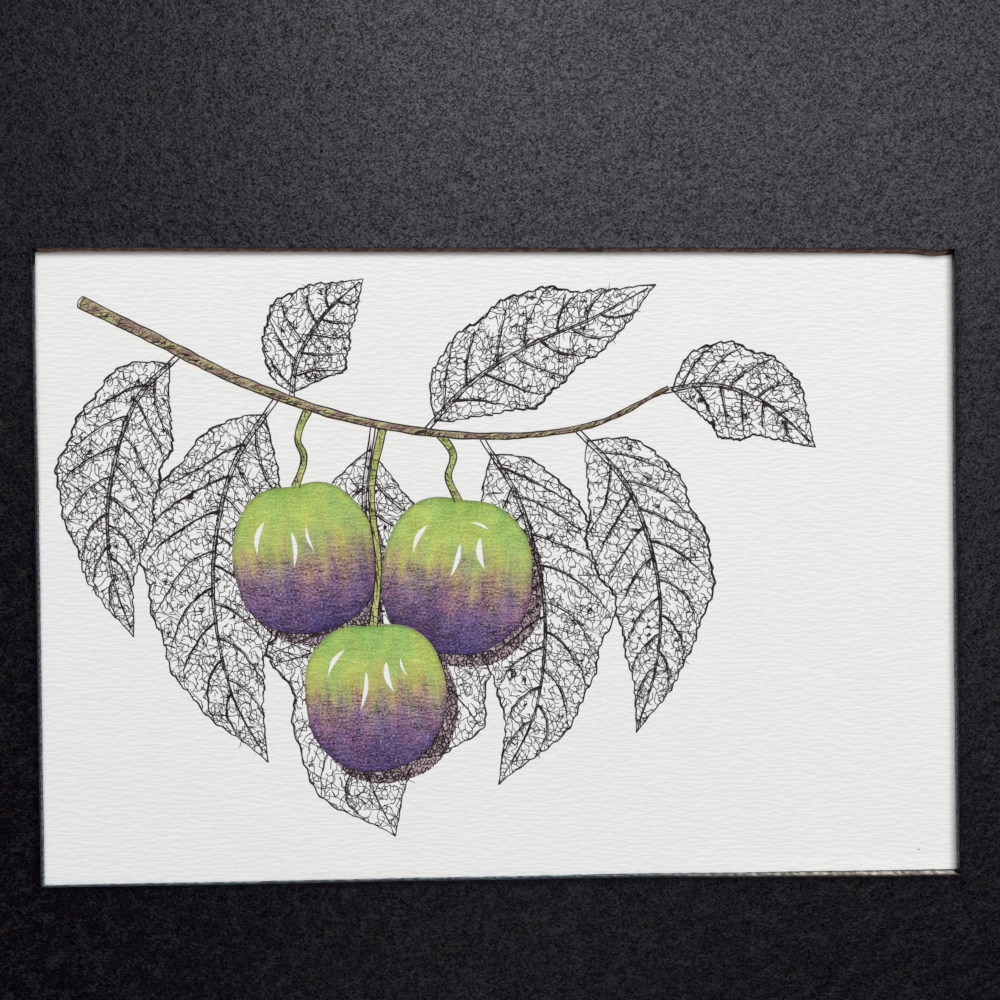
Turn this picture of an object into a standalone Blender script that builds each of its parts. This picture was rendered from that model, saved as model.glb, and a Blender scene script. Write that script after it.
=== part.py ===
"""A matted picture: a hand-cut window mat over a card on a backing board.

It lies on its back. The origin is at the middle of the backing board's back face, +X runs
along the picture's width, +Y to its top edge and +Z out of its face. Units are metres.
"""

import bmesh
import bpy
from mathutils import Vector

MM = 0.001

# Driving dimensions
BOARD_WIDTH = 254.0 * MM
BOARD_HEIGHT = 203.0 * MM
MAT_THICKNESS = 1.5 * MM
BACKING_THICKNESS = 2.0 * MM
CARD_WIDTH = 148.0 * MM
CARD_HEIGHT = 105.0 * MM
CARD_THICKNESS = 0.4 * MM
WINDOW_WIDTH = 145.0 * MM
WINDOW_HEIGHT = 99.9 * MM
LAYER_GAP = 0.2 * MM

# The tape that joins the two boards, set in from their edges
TAPE_WIDTH = 12.0 * MM
TAPE_INSET = 4.0 * MM
TAPE_END_GAP = 1.0 * MM

# The tabs that hang the card, and the strips across them
TAB_WIDTH = 20.0 * MM
TAB_LENGTH = 27.0 * MM
TAB_UNDER_CARD = 12.0 * MM
TAB_THICKNESS = 0.15 * MM
TAB_SPACING = 88.0 * MM
CROSS_WIDTH = 44.0 * MM
CROSS_HEIGHT = 11.0 * MM
CROSS_ABOVE_CARD = 2.5 * MM

# Heights of the layers, from the back to the face
TAB_BOTTOM = BACKING_THICKNESS + LAYER_GAP
CARD_BOTTOM = TAB_BOTTOM + TAB_THICKNESS + LAYER_GAP
MAT_BOTTOM = CARD_BOTTOM + CARD_THICKNESS + LAYER_GAP
TAPE_THICKNESS = MAT_BOTTOM - BACKING_THICKNESS - 2 * LAYER_GAP

# The window's corners in order round it: which way each lies from the middle, how far the
# knife drifted there off a true rectangle, and how far the cut's foot stands into the window
# from its top edge, along X and along Y
WINDOW_CORNERS = (
    {"side": (-1, 1), "drift": (-0.23 * MM, 0.19 * MM), "lean": (-0.10 * MM, 0.45 * MM)},
    {"side": (-1, -1), "drift": (0.23 * MM, 0.11 * MM), "lean": (-0.10 * MM, -0.13 * MM)},
    {"side": (1, -1), "drift": (0.23 * MM, -0.13 * MM), "lean": (-0.12 * MM, 0.56 * MM)},
    {"side": (1, 1), "drift": (-0.23 * MM, -0.19 * MM), "lean": (-0.12 * MM, 0.60 * MM)},
)


def clear_scene():
    for old in list(bpy.data.objects):
        bpy.data.objects.remove(old, do_unlink=True)


def paper_material(name, colour, roughness):
    material = bpy.data.materials.new(name)
    material.use_nodes = True
    shader = material.node_tree.nodes["Principled BSDF"]
    shader.inputs["Base Color"].default_value = (*colour, 1.0)
    shader.inputs["Roughness"].default_value = roughness
    shader.inputs["Metallic"].default_value = 0.0
    return material


def add_object(name, mesh, material, location, parent):
    """Put one mesh in the scene as a sub-part with its own material."""
    part = bpy.data.objects.new(name, mesh)
    part.data.materials.append(material)
    part.location = location
    part.parent = parent
    bpy.context.scene.collection.objects.link(part)
    return part


def slab(name, size, middle, bottom, material, parent):
    """A flat sheet: size is its width, height and thickness, middle its place in X and Y."""
    body = bmesh.new()
    bmesh.ops.create_cube(body, size=1.0)
    bmesh.ops.scale(body, vec=Vector(size), verts=body.verts)
    mesh = bpy.data.meshes.new(name)
    body.to_mesh(mesh)
    body.free()
    place = (middle[0], middle[1], bottom + size[2] / 2)
    return add_object(name, mesh, material, place, parent)


def window_corner(corner, foot):
    """Where a corner of the window lies on the mat's face or, at the foot, on its back."""
    half = (WINDOW_WIDTH / 2, WINDOW_HEIGHT / 2)
    point = []
    for side, reach, drift, lean in zip(corner["side"], half, corner["drift"], corner["lean"]):
        inward = lean if foot else 0.0
        point.append(side * (reach - inward) + drift)
    return point


def window_mat(material, parent):
    """The mat: a board with a window whose four cuts lean a little, each its own way."""
    body = bmesh.new()
    rings = {}
    for level, foot in ((MAT_THICKNESS, False), (0.0, True)):
        outer, inner = [], []
        for corner in WINDOW_CORNERS:
            edge = (corner["side"][0] * BOARD_WIDTH / 2, corner["side"][1] * BOARD_HEIGHT / 2)
            outer.append(body.verts.new((*edge, level)))
            inner.append(body.verts.new((*window_corner(corner, foot), level)))
        rings[foot] = (outer, inner)
    face_outer, face_inner = rings[False]
    back_outer, back_inner = rings[True]
    for here in range(4):
        after = (here + 1) % 4
        body.faces.new((face_outer[here], face_outer[after], face_inner[after], face_inner[here]))
        body.faces.new((back_outer[after], back_outer[here], back_inner[here], back_inner[after]))
        body.faces.new((back_outer[here], back_outer[after], face_outer[after], face_outer[here]))
        body.faces.new((face_inner[here], face_inner[after], back_inner[after], back_inner[here]))
    bmesh.ops.triangulate(body, faces=body.faces)
    bmesh.ops.recalc_face_normals(body, faces=body.faces)
    mesh = bpy.data.meshes.new("mat_board")
    body.to_mesh(mesh)
    body.free()
    return add_object("mat_board", mesh, material, (0.0, 0.0, MAT_BOTTOM), parent)


def mounting_tapes(material, parent):
    """Double-sided tape round all four sides, between the mat and the backing board."""
    across = BOARD_WIDTH / 2 - TAPE_INSET - TAPE_WIDTH / 2
    up = BOARD_HEIGHT / 2 - TAPE_INSET - TAPE_WIDTH / 2
    long_side = BOARD_WIDTH - 2 * TAPE_INSET
    short_side = BOARD_HEIGHT - 2 * (TAPE_INSET + TAPE_WIDTH + TAPE_END_GAP)
    strips = {
        "tape_top": ((long_side, TAPE_WIDTH), (0.0, up)),
        "tape_bottom": ((long_side, TAPE_WIDTH), (0.0, -up)),
        "tape_left": ((TAPE_WIDTH, short_side), (-across, 0.0)),
        "tape_right": ((TAPE_WIDTH, short_side), (across, 0.0)),
    }
    for name, (size, middle) in strips.items():
        slab(name, (*size, TAPE_THICKNESS), middle, TAB_BOTTOM, material, parent)


def card_hinges(tab_material, cross_material, parent):
    """Two tabs behind the card's top edge, each held to the backing board by a cross strip."""
    card_top = CARD_HEIGHT / 2
    tab_middle = card_top - TAB_UNDER_CARD + TAB_LENGTH / 2
    cross_middle = card_top + CROSS_ABOVE_CARD + CROSS_HEIGHT / 2
    for word, side in (("left", -1), ("right", 1)):
        x = side * TAB_SPACING / 2
        tab_size = (TAB_WIDTH, TAB_LENGTH, TAB_THICKNESS)
        slab(f"hanging_tab_{word}", tab_size, (x, tab_middle), TAB_BOTTOM, tab_material, parent)
        cross_size = (CROSS_WIDTH, CROSS_HEIGHT, TAB_THICKNESS)
        slab(f"cross_strip_{word}", cross_size, (x, cross_middle), CARD_BOTTOM, cross_material, parent)


def main():
    clear_scene()
    origin = bpy.data.objects.new("matted_picture", None)
    bpy.context.scene.collection.objects.link(origin)
    board_size = (BOARD_WIDTH, BOARD_HEIGHT, BACKING_THICKNESS)
    card_size = (CARD_WIDTH, CARD_HEIGHT, CARD_THICKNESS)
    grey_board = paper_material("grey_board", (0.42, 0.40, 0.36), 0.9)
    white_card = paper_material("white_card", (0.86, 0.86, 0.83), 0.85)
    slab("backing_board", board_size, (0.0, 0.0), 0.0, grey_board, origin)
    slab("art_card", card_size, (0.0, 0.0), CARD_BOTTOM, white_card, origin)
    window_mat(paper_material("black_board", (0.025, 0.025, 0.027), 0.85), origin)
    mounting_tapes(paper_material("foam_tape", (0.75, 0.75, 0.72), 0.6), origin)
    tab_tissue = paper_material("tab_tissue", (0.78, 0.74, 0.64), 0.8)
    cross_tape = paper_material("cross_tape", (0.80, 0.78, 0.70), 0.75)
    card_hinges(tab_tissue, cross_tape, origin)


main()
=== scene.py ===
# A matted picture: a fruiting sprig in pen and wash on felt-marked card, behind a hand-cut
# window in a black mat, on a grey backing board. It lies on its back, face up.
import math
import random

import bmesh
import bpy
import numpy
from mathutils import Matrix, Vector, noise
from mathutils.geometry import delaunay_2d_cdt


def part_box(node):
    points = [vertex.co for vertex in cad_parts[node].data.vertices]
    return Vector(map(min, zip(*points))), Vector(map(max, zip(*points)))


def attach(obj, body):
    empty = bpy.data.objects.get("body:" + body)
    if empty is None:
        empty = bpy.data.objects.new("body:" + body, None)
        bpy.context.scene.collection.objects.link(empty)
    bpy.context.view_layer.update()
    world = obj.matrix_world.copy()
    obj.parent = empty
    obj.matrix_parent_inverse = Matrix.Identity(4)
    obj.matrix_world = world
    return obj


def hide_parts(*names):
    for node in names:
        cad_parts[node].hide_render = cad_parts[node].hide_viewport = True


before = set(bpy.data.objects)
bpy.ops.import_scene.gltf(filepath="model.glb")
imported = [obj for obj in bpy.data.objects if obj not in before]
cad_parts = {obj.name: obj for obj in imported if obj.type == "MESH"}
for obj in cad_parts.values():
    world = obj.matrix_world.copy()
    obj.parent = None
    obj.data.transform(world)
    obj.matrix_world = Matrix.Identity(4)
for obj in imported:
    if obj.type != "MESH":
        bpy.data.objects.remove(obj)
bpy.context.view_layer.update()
mm = 0.001
noise.seed_set(5)      # without it the ink's tremble would differ from run to run


# Small tools for node trees

def addNode(tree, kind, **settings):
    node = tree.nodes.new(kind)
    for name, value in settings.items():
        setattr(node, name, value)
    return node


def feed(tree, socket, value):      # links a socket, or sets a plain value
    if isinstance(value, bpy.types.NodeSocket):
        tree.links.new(value, socket)
    elif value is not None:
        socket.default_value = value


def maths(tree, operation, *values):
    node = addNode(tree, "ShaderNodeMath", operation=operation)
    for socket, value in zip(node.inputs, values):
        feed(tree, socket, value)
    return node.outputs[0]


def vectorMaths(tree, operation, *values):
    node = addNode(tree, "ShaderNodeVectorMath", operation=operation)
    for socket, value in zip(node.inputs, values):
        feed(tree, socket, value)
    return node.outputs[0]


def splitVector(tree, vector):
    node = addNode(tree, "ShaderNodeSeparateXYZ")
    feed(tree, node.inputs[0], vector)
    return node.outputs


def joinVector(tree, x, y, z):
    node = addNode(tree, "ShaderNodeCombineXYZ")
    for socket, value in zip(node.inputs, (x, y, z)):
        feed(tree, socket, value)
    return node.outputs[0]


def evenVector(tree, value):      # one value as all three numbers of a vector or a colour
    return joinVector(tree, value, value, value)


def scaledPlace(tree, place, size, layer):      # across and up in units of a size, on one layer
    across, up, _ = splitVector(tree, place)
    return joinVector(tree, maths(tree, "DIVIDE", across, size), maths(tree, "DIVIDE", up, size), layer)


def swung(tree, field, reach, base=0.0):      # a noise swung about its middle, on top of a base
    return maths(tree, "MULTIPLY_ADD", maths(tree, "SUBTRACT", field, 0.5), reach, base)


def ranged(tree, value, low, high, first=0.0, last=1.0):      # a smooth step from one value to another
    node = addNode(tree, "ShaderNodeMapRange", interpolation_type="SMOOTHSTEP")
    feed(tree, node.inputs["Value"], value)
    for title, number in zip(("From Min", "From Max", "To Min", "To Max"), (low, high, first, last)):
        feed(tree, node.inputs[title], number)
    return node.outputs["Result"]


def noiseField(tree, vector, detail=2.0, roughness=0.5, scale=1.0):
    node = addNode(tree, "ShaderNodeTexNoise")
    feed(tree, node.inputs["Vector"], vector)
    feed(tree, node.inputs["Scale"], scale)
    feed(tree, node.inputs["Detail"], detail)
    feed(tree, node.inputs["Roughness"], roughness)
    return node.outputs["Fac"]


def grained(tree, place, size, turn=0.0, shift=(0.0, 0.0, 0.0), detail=2.0, roughness=0.5):
    moved = addNode(tree, "ShaderNodeMapping", vector_type="TEXTURE")
    feed(tree, moved.inputs["Vector"], place)
    moved.inputs["Location"].default_value = shift
    moved.inputs["Rotation"].default_value = (0.0, 0.0, math.radians(turn))
    moved.inputs["Scale"].default_value = size
    return noiseField(tree, moved.outputs[0], detail, roughness)


def mixed(tree, factor, first, second, blend="MIX"):
    node = addNode(tree, "ShaderNodeMix", data_type="RGBA", blend_type=blend)
    feed(tree, node.inputs[0], factor)
    for socket, value in ((node.inputs[6], first), (node.inputs[7], second)):
        feed(tree, socket, (*value, 1.0) if isinstance(value, tuple) else value)
    return node.outputs[2]


def startTree(name, kind, inputs, outputs):      # a node group with named sockets
    tree = bpy.data.node_groups.new(name, kind)
    for title, socketKind, value in inputs:
        socket = tree.interface.new_socket(name=title, in_out="INPUT", socket_type=socketKind)
        if value is not None:
            socket.default_value = value
    for title, socketKind in outputs:
        tree.interface.new_socket(name=title, in_out="OUTPUT", socket_type=socketKind)
    source = addNode(tree, "NodeGroupInput")
    result = addNode(tree, "NodeGroupOutput")
    return tree, source.outputs, result.inputs


def placeGroup(tree, group, **values):
    node = addNode(tree, "ShaderNodeGroup", node_tree=group)
    for title, value in values.items():
        feed(tree, node.inputs[title], value)
    return node.outputs


def newSurface(name, roughness, specular):
    material = bpy.data.materials.new(name)
    material.use_nodes = True
    tree = material.node_tree
    shader = tree.nodes["Principled BSDF"]
    shader.inputs["Roughness"].default_value = roughness
    shader.inputs["Specular IOR Level"].default_value = specular
    place = addNode(tree, "ShaderNodeTexCoord").outputs["Object"]
    return material, tree, shader, place


def readAttribute(tree, title):      # a number that the mesh carries at its points
    return addNode(tree, "ShaderNodeAttribute", attribute_name=title).outputs["Fac"]


def addBump(tree, shader, height, depth):
    bump = addNode(tree, "ShaderNodeBump")
    bump.inputs["Distance"].default_value = depth
    feed(tree, bump.inputs["Height"], height)
    feed(tree, shader.inputs["Normal"], bump.outputs[0])


def coatGeometry(tree, result, geometry, material):      # the end of each geometry tree
    whole = addNode(tree, "GeometryNodeRealizeInstances")
    feed(tree, whole.inputs[0], geometry)
    coated = addNode(tree, "GeometryNodeSetMaterial")
    feed(tree, coated.inputs["Geometry"], whole.outputs[0])
    feed(tree, coated.inputs["Material"], material)
    feed(tree, result["Geometry"], coated.outputs[0])


# Small tools for meshes

def makeObject(name, mesh, *materials):
    piece = bpy.data.objects.new(name, mesh)
    for material in materials:
        mesh.materials.append(material)
    bpy.context.scene.collection.objects.link(piece)
    return piece


def rawMesh(name, points, faces=(), edges=()):
    mesh = bpy.data.meshes.new(name)
    mesh.from_pydata(points, edges, faces)
    return mesh


def faceOutwards(mesh, merge=0.0):      # turns every face outwards, after near points are merged
    body = bmesh.new()
    body.from_mesh(mesh)
    if merge:
        bmesh.ops.remove_doubles(body, verts=body.verts, dist=merge)
    bmesh.ops.recalc_face_normals(body, faces=body.faces)
    body.to_mesh(mesh)
    body.free()


def shadeRound(mesh, sharpAngle):
    mesh.shade_smooth()
    mesh.set_sharp_from_angle(angle=math.radians(sharpAngle))


def closedMesh(name, points, faces, sharpAngle):
    mesh = rawMesh(name, points, faces)
    faceOutwards(mesh, 0.0001 * mm)
    shadeRound(mesh, sharpAngle)
    return mesh


def meshSpots(mesh):      # a mesh's points as rows of numbers
    spots = numpy.empty(3 * len(mesh.vertices))
    mesh.vertices.foreach_get("co", spots)
    return spots.reshape(-1, 3)


def notePoints(mesh, title, values):      # one number kept at each point
    mesh.attributes.new(title, "FLOAT", "POINT").data.foreach_set("value", values)


def gridFaces(columns, rows):      # the quads over a grid of points, and the points round its rim
    wide = columns + 1
    last = rows * wide
    quads = [(here, here + 1, here + wide + 1, here + wide)
             for row in range(rows) for here in range(row * wide, row * wide + columns)]
    rim = [*range(columns), *range(columns, last + columns, wide)]
    rim += [*range(last + columns, last, -1), *range(last, 0, -wide)]
    return quads, rim


def ridePiece(piece):      # every piece moves with the one body
    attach(piece, "root")
    print("made", piece.name, len(piece.data.polygons), "faces")


def finishPiece(piece, slot, *nodes):      # a piece that stands in for nodes of the frame
    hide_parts(*nodes)
    ridePiece(piece)


def runTree(name, mesh, tree, **values):      # a geometry tree's result as a plain mesh
    holder = bpy.data.objects.new(name, mesh)
    bpy.context.scene.collection.objects.link(holder)
    modifier = holder.modifiers.new("tree", "NODES")
    modifier.node_group = tree
    for item in tree.interface.items_tree:
        title = item.name.replace(" ", "")
        if item.in_out == "INPUT" and title in values:
            modifier[item.identifier] = values[title]
    evaluated = holder.evaluated_get(bpy.context.evaluated_depsgraph_get())
    made = bpy.data.meshes.new_from_object(evaluated)
    holder.modifiers.clear()
    bpy.data.objects.remove(holder)
    made.name = name
    return made


# The card's felt marks: one field, read by the relief and by every colour laid on the card

felt = {
    "markLength": 1.9 * mm,      # size of the noise cells that the marks come from, along them
    "markHeight": 0.37 * mm,      # and across them
    "hollow": 0.31 * mm,      # from a mark up to the hollow beside it
    "wanderLength": 5.0 * mm,
    "wander": 0.7 * mm,      # how far the marks stray up and down
    "steep": 7.5,      # how soon a mark reaches its full height
    "range": 0.15,      # how far the field goes to either side of its middle
    "depth": 0.09 * mm,      # the height that the whole of the field from 0 to 1 would stand for
    "cockleLength": 38.0 * mm,
    "cockle": 0.05 * mm,
}


def feltField(tree, place):      # works in shader trees and geometry trees alike
    across, up, _ = splitVector(tree, place)
    slow = noiseField(tree, scaledPlace(tree, place, felt["wanderLength"], 0.0), 1.0)
    bent = swung(tree, slow, felt["wander"], up)
    along = maths(tree, "DIVIDE", across, felt["markLength"])
    sampled = []
    for height in (bent, maths(tree, "ADD", bent, felt["hollow"])):
        spot = joinVector(tree, along, maths(tree, "DIVIDE", height, felt["markHeight"]), 3.7)
        sampled.append(noiseField(tree, spot, 1.5, 0.6))
    swell = maths(tree, "MULTIPLY", maths(tree, "SUBTRACT", *sampled), felt["steep"])
    return maths(tree, "MULTIPLY_ADD", maths(tree, "TANH", swell), felt["range"], 0.5)


def makeFeltGroup():
    tree, source, result = startTree("feltMarks", "ShaderNodeTree",
                                     [("Place", "NodeSocketVector", None)], [("Height", "NodeSocketFloat")])
    feed(tree, result["Height"], feltField(tree, source["Place"]))
    return tree


def makeFeltLift():      # how high the card's face stands over its flat level
    tree, _, result = startTree("feltLift", "GeometryNodeTree", [], [("Lift", "NodeSocketVector")])
    place = addNode(tree, "GeometryNodeInputPosition").outputs[0]
    marks = swung(tree, feltField(tree, place), felt["depth"])
    wave = noiseField(tree, scaledPlace(tree, place, felt["cockleLength"], 8.1), 0.0)
    feed(tree, result["Lift"], joinVector(tree, 0.0, 0.0, swung(tree, wave, felt["cockle"], marks)))
    return tree


def readLift(tree):
    return addNode(tree, "GeometryNodeGroup", node_tree=feltLift).outputs[0]


def makeReliefTree():      # raises a mesh that lies on the card by the card's own relief
    tree, source, result = startTree("followFelt", "GeometryNodeTree", [
        ("Geometry", "NodeSocketGeometry", None),
        ("Lowest", "NodeSocketFloat", 0.0),
        ("Finish", "NodeSocketMaterial", None),
    ], [("Geometry", "NodeSocketGeometry")])
    _, _, height = splitVector(tree, addNode(tree, "GeometryNodeInputPosition").outputs[0])
    moved = addNode(tree, "GeometryNodeSetPosition")
    feed(tree, moved.inputs["Geometry"], source["Geometry"])
    feed(tree, moved.inputs["Selection"], maths(tree, "GREATER_THAN", height, source["Lowest"]))
    feed(tree, moved.inputs["Offset"], readLift(tree))
    coatGeometry(tree, result, moved.outputs[0], source["Finish"])
    return tree


# Shared finishes

def makeFibreGroup():      # the mottle and flecks of pressed paper stock
    tree, source, result = startTree("paperFibre", "ShaderNodeTree", [
        ("Place", "NodeSocketVector", None),
        ("Fibre", "NodeSocketFloat", 0.001),
    ], [("Mottle", "NodeSocketFloat"), ("Fleck", "NodeSocketFloat")])
    scaled = vectorMaths(tree, "DIVIDE", source["Place"], evenVector(tree, source["Fibre"]))
    feed(tree, result["Mottle"], noiseField(tree, scaled, 4.0, 0.62))
    long = noiseField(tree, vectorMaths(tree, "MULTIPLY", scaled, (0.8, 3.2, 1.0)), 2.0, 0.5)
    tall = noiseField(tree, vectorMaths(tree, "MULTIPLY", scaled, (3.2, 0.8, 1.0)), 2.0, 0.5)
    feed(tree, result["Fleck"], ranged(tree, maths(tree, "MAXIMUM", long, tall), 0.66, 0.74))
    return tree


def makeEdgeGroup():      # 1 at the edge of a rectangle, fading inwards with a ragged border
    tree, source, result = startTree("edgeRub", "ShaderNodeTree", [
        ("Place", "NodeSocketVector", None),
        ("Half Width", "NodeSocketFloat", 0.1),
        ("Half Height", "NodeSocketFloat", 0.1),
        ("Reach", "NodeSocketFloat", 0.001),
    ], [("Rub", "NodeSocketFloat")])
    across, up, _ = splitVector(tree, source["Place"])
    side = maths(tree, "SUBTRACT", source["Half Width"], maths(tree, "ABSOLUTE", across))
    end = maths(tree, "SUBTRACT", source["Half Height"], maths(tree, "ABSOLUTE", up))
    inward = maths(tree, "DIVIDE", maths(tree, "MINIMUM", side, end), source["Reach"])
    ragged = noiseField(tree, source["Place"], 3.0, 0.6, 420.0)
    feed(tree, result["Rub"], ranged(tree, maths(tree, "ADD", inward, ragged), 1.15, 0.45))
    return tree


feltGroup = makeFeltGroup()
fibreGroup = makeFibreGroup()
edgeGroup = makeEdgeGroup()
feltLift = makeFeltLift()
reliefTree = makeReliefTree()
print("made the shared node groups")


# Window mat

matLow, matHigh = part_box("mat_board")
mat = {
    "facePly": 0.21 * mm,
    "faceCell": 1.5 * mm,
    "facePit": 0.012 * mm,
    "facePitLength": 4.0 * mm,
    "clearOfCut": 0.6 * mm,      # no inner point of the face lies nearer to an edge
    "burr": 0.030 * mm,      # how far the facing stands up right beside a cut
    "knifeStep": 0.4 * mm,
    "outerStep": 2.0 * mm,
    "wander": 0.055 * mm,
    "wanderLength": 17.0 * mm,
    "waver": 0.022 * mm,
    "waverLength": 2.6 * mm,
    "fray": 0.05 * mm,
    "frayLength": 0.75 * mm,
    "frayHeight": 0.45 * mm,
    "windowReach": (80 * mm, 60 * mm),      # the window's wall lies within this, the outer wall beyond
}
# The black facing paper: what its grain, its shine and its worn places look like
facing = {
    "rough": 0.34,
    "specular": 0.092,
    "specularTint": (0.80, 0.76, 1.0, 1.0),
    "coatRough": 0.39,
    "glint": 0.62,      # how strongly single fibres shine
    "bump": 0.36 * mm,
    "plum": (0.0015, 0.0, 0.0014),      # its black drifts between these two
    "navy": (0.0, 0.0002, 0.0033),
    "fluff": 0.0122,      # how pale the flecks and the lint are
    "fluffSharpness": 3.8,
    "rimColour": (0.0006, 0.0006, 0.0009),      # painted shade: darker, and with less coat, beside the cut on the left, right and bottom sides
    "rimHalf": (72.4 * mm, 49.8 * mm),
    "rimReach": -2.0 * mm,
    "rimTop": (48.6 * mm, 47.8 * mm),      # it fades out under the top side
    "rimShare": 0.7,
    "rimDull": 0.65,
    "rubColour": (0.030, 0.029, 0.030),      # rubbed pale along the outer edge
    "rubReach": 1.1 * mm,
    "rubShare": 0.35,
    "blend": 0.015 * mm,      # where the facing gives way to the core
}
# The core that the cut laid bare
core = {
    "rough": 0.9,
    "footColour": (0.165, 0.200, 0.222),      # by the card, and below the facing
    "underFaceColour": (0.022, 0.030, 0.044),
    "topFootColour": (0.195, 0.130, 0.105),
    "topUnderFaceColour": (0.125, 0.058, 0.040),
    "creamColour": (0.430, 0.395, 0.330),
    "creamShadeColour": (0.235, 0.212, 0.182),
    "creamTopColour": (0.075, 0.060, 0.062),
    # painted shade: the dark line at the foot of the cream stretch, where the wall meets the card
    "linerColour": (0.060, 0.064, 0.070),
    "waver": 0.5 * mm,      # how far the bands stray up and down
    "tornStart": (5 * mm, 58 * mm),      # the cream stretch grows in between these
    "tornWhole": (40 * mm, 49 * mm),      # and has no gaps past these
    "tornEnd": (90 * mm, 80 * mm),
    "tornTop": (-48 * mm, -49 * mm),      # it keeps to the wall low in the picture
    "tornBottom": (70 * mm, 69 * mm),
}
# The board's edge from its face to its back: how deep, and how far out from the nominal cut. It
# goes 0.1 mm deeper than the solid, into the gap over the card
edgeProfile = [
    (0.000, -0.050), (0.010, -0.022), (0.040, 0.000), (0.170, 0.004), (0.205, -0.012),
    (0.235, 0.000), (0.480, 0.006), (0.760, 0.000), (1.060, -0.006), (1.330, 0.000),
    (1.350, -0.014), (1.380, 0.000), (1.540, 0.004), (1.600, -0.020),
]
# Where the hand-held knife strayed: the side, how far along it from its start, how long the
# stray is, and how far it stands into the window at the face and at the foot
knifeStrays = [
    {"side": "top", "at": 3.0, "reach": 2.3, "face": 0.44, "foot": 0.32},
    {"side": "top", "at": 143.6, "reach": 1.6, "face": 0.02, "foot": 0.22},
    {"side": "top", "at": 72.0, "reach": 400.0, "face": 0.02, "foot": -0.27},
    {"side": "top", "at": 0.0, "reach": 14.0, "face": 0.0, "foot": 0.25},
    {"side": "right", "at": 1.0, "reach": 9.0, "face": 0.05, "foot": -0.30},
    {"side": "right", "at": 92.0, "reach": 18.0, "face": -0.05, "foot": -0.30},
    {"side": "left", "at": 17.0, "reach": 14.0, "face": 0.0, "foot": -0.15},
    {"side": "bottom", "at": 92.0, "reach": 34.0, "face": 0.42, "foot": 0.19},
    {"side": "bottom", "at": 49.0, "reach": 32.0, "face": 0.16, "foot": 0.05},
    {"side": "bottom", "at": 72.0, "reach": 400.0, "face": 0.10, "foot": 0.02},
]
# Where the wall is painted black like the facing, as painted shade of a deep knife overcut at a corner: the
# side, from where to where along it, and how far from the nominal cut
overcutShades = [
    {"side": "left", "from": -1.0, "to": 2.7, "deep": 0.5},
    {"side": "right", "from": -1.0, "to": 1.3, "deep": 0.45},
    {"side": "right", "from": 98.4, "to": 101.5, "deep": 0.8},
]
sideNames = ("left", "bottom", "right", "top")


def windowCorners():      # the window's corners on the face and at the foot, as the frame has them
    middle = (matLow.z + matHigh.z) / 2
    found = {}
    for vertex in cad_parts["mat_board"].data.vertices:
        x, y, z = vertex.co
        if abs(x) < matHigh.x - 10 * mm and abs(y) < matHigh.y - 10 * mm:
            found[z > middle, x > 0, y > 0] = Vector((x, y))
    around = ((False, True), (False, False), (True, False), (True, True))
    return [[found[level, right, top] for right, top in around] for level in (True, False)]


def knifeOffset(side, along, depth):      # how far the cut stands into the window, in metres
    row = sideNames.index(side) * 7.3
    slow = noise.noise(Vector((along / mat["wanderLength"], row, 1.0)))
    quick = noise.noise(Vector((along / mat["waverLength"], row, 5.0)))
    offset = mat["wander"] * slow + mat["waver"] * quick
    share = depth / (matHigh.z - matLow.z)
    for stray in knifeStrays:
        if stray["side"] == side:
            away = (along / mm - stray["at"]) / stray["reach"]
            offset += (stray["face"] * (1 - share) + stray["foot"] * share) * mm * math.exp(-away * away)
    if depth > mat["facePly"]:
        rough = noise.noise(Vector((along / mat["frayLength"], depth / mat["frayHeight"], row)))
        offset += mat["fray"] * rough
    return offset


def windowRings():      # closed loops of points down the wall of the cut
    face, foot = windowCorners()
    thickness = matHigh.z - matLow.z
    rings = []
    for depthMm, proud in edgeProfile:
        depth = depthMm * mm
        share = depth / thickness
        corners = [face[i].lerp(foot[i], share) for i in range(4)]
        inward, counts = [], []
        for i in range(4):
            run = corners[(i + 1) % 4] - corners[i]
            inward.append(Vector((-run.y, run.x)).normalized())
            counts.append(round((face[(i + 1) % 4] - face[i]).length / mat["knifeStep"]))
        ring = []
        for i, side in enumerate(sideNames):
            start, end = corners[i], corners[(i + 1) % 4]
            span = (end - start).length
            for step in range(counts[i]):
                along = span * step / counts[i]
                point = start.lerp(end, step / counts[i])
                point = point + inward[i] * (knifeOffset(side, along, depth) + proud * mm)
                if step == 0:
                    beforeSpan = (corners[i] - corners[i - 1]).length
                    bend = knifeOffset(sideNames[i - 1], beforeSpan, depth) + proud * mm
                    point = point + inward[i - 1] * bend
                ring.append((point.x, point.y, matHigh.z - depth))
        rings.append(ring)
    return rings


def rectangleSpots(half, step):      # even points round a rectangle, from its top left down and round
    corners = [Vector((sx * half.x, sy * half.y)) for sx, sy in ((-1, 1), (-1, -1), (1, -1), (1, 1))]
    spots = []
    for start, end in zip(corners, corners[1:] + corners[:1]):
        count = round((end - start).length / step)
        spots += [start.lerp(end, stride / count) for stride in range(count)]
    return corners, spots


def outerRings():
    rings = []
    for depthMm, proud in edgeProfile:
        inset = min(proud, 0.0) * mm
        _, spots = rectangleSpots(Vector((matHigh.x + inset, matHigh.y + inset)), mat["outerStep"])
        rings.append([(spot.x, spot.y, matHigh.z - depthMm * mm) for spot in spots])
    return rings


def insidePolygon(points, outline):      # which of the points lie inside an outline
    points = numpy.asarray(points, float)
    outline = numpy.asarray(outline, float)
    inside = numpy.zeros(len(points), bool)
    start = outline
    end = numpy.roll(outline, -1, axis=0)
    for (ax, ay), (bx, by) in zip(start, end):
        if ay == by:
            continue
        crosses = (points[:, 1] < ay) != (points[:, 1] < by)
        reach = ax + (points[:, 1] - ay) * (bx - ax) / (by - ay)
        inside ^= crosses & (points[:, 0] < reach)
    return inside


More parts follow.
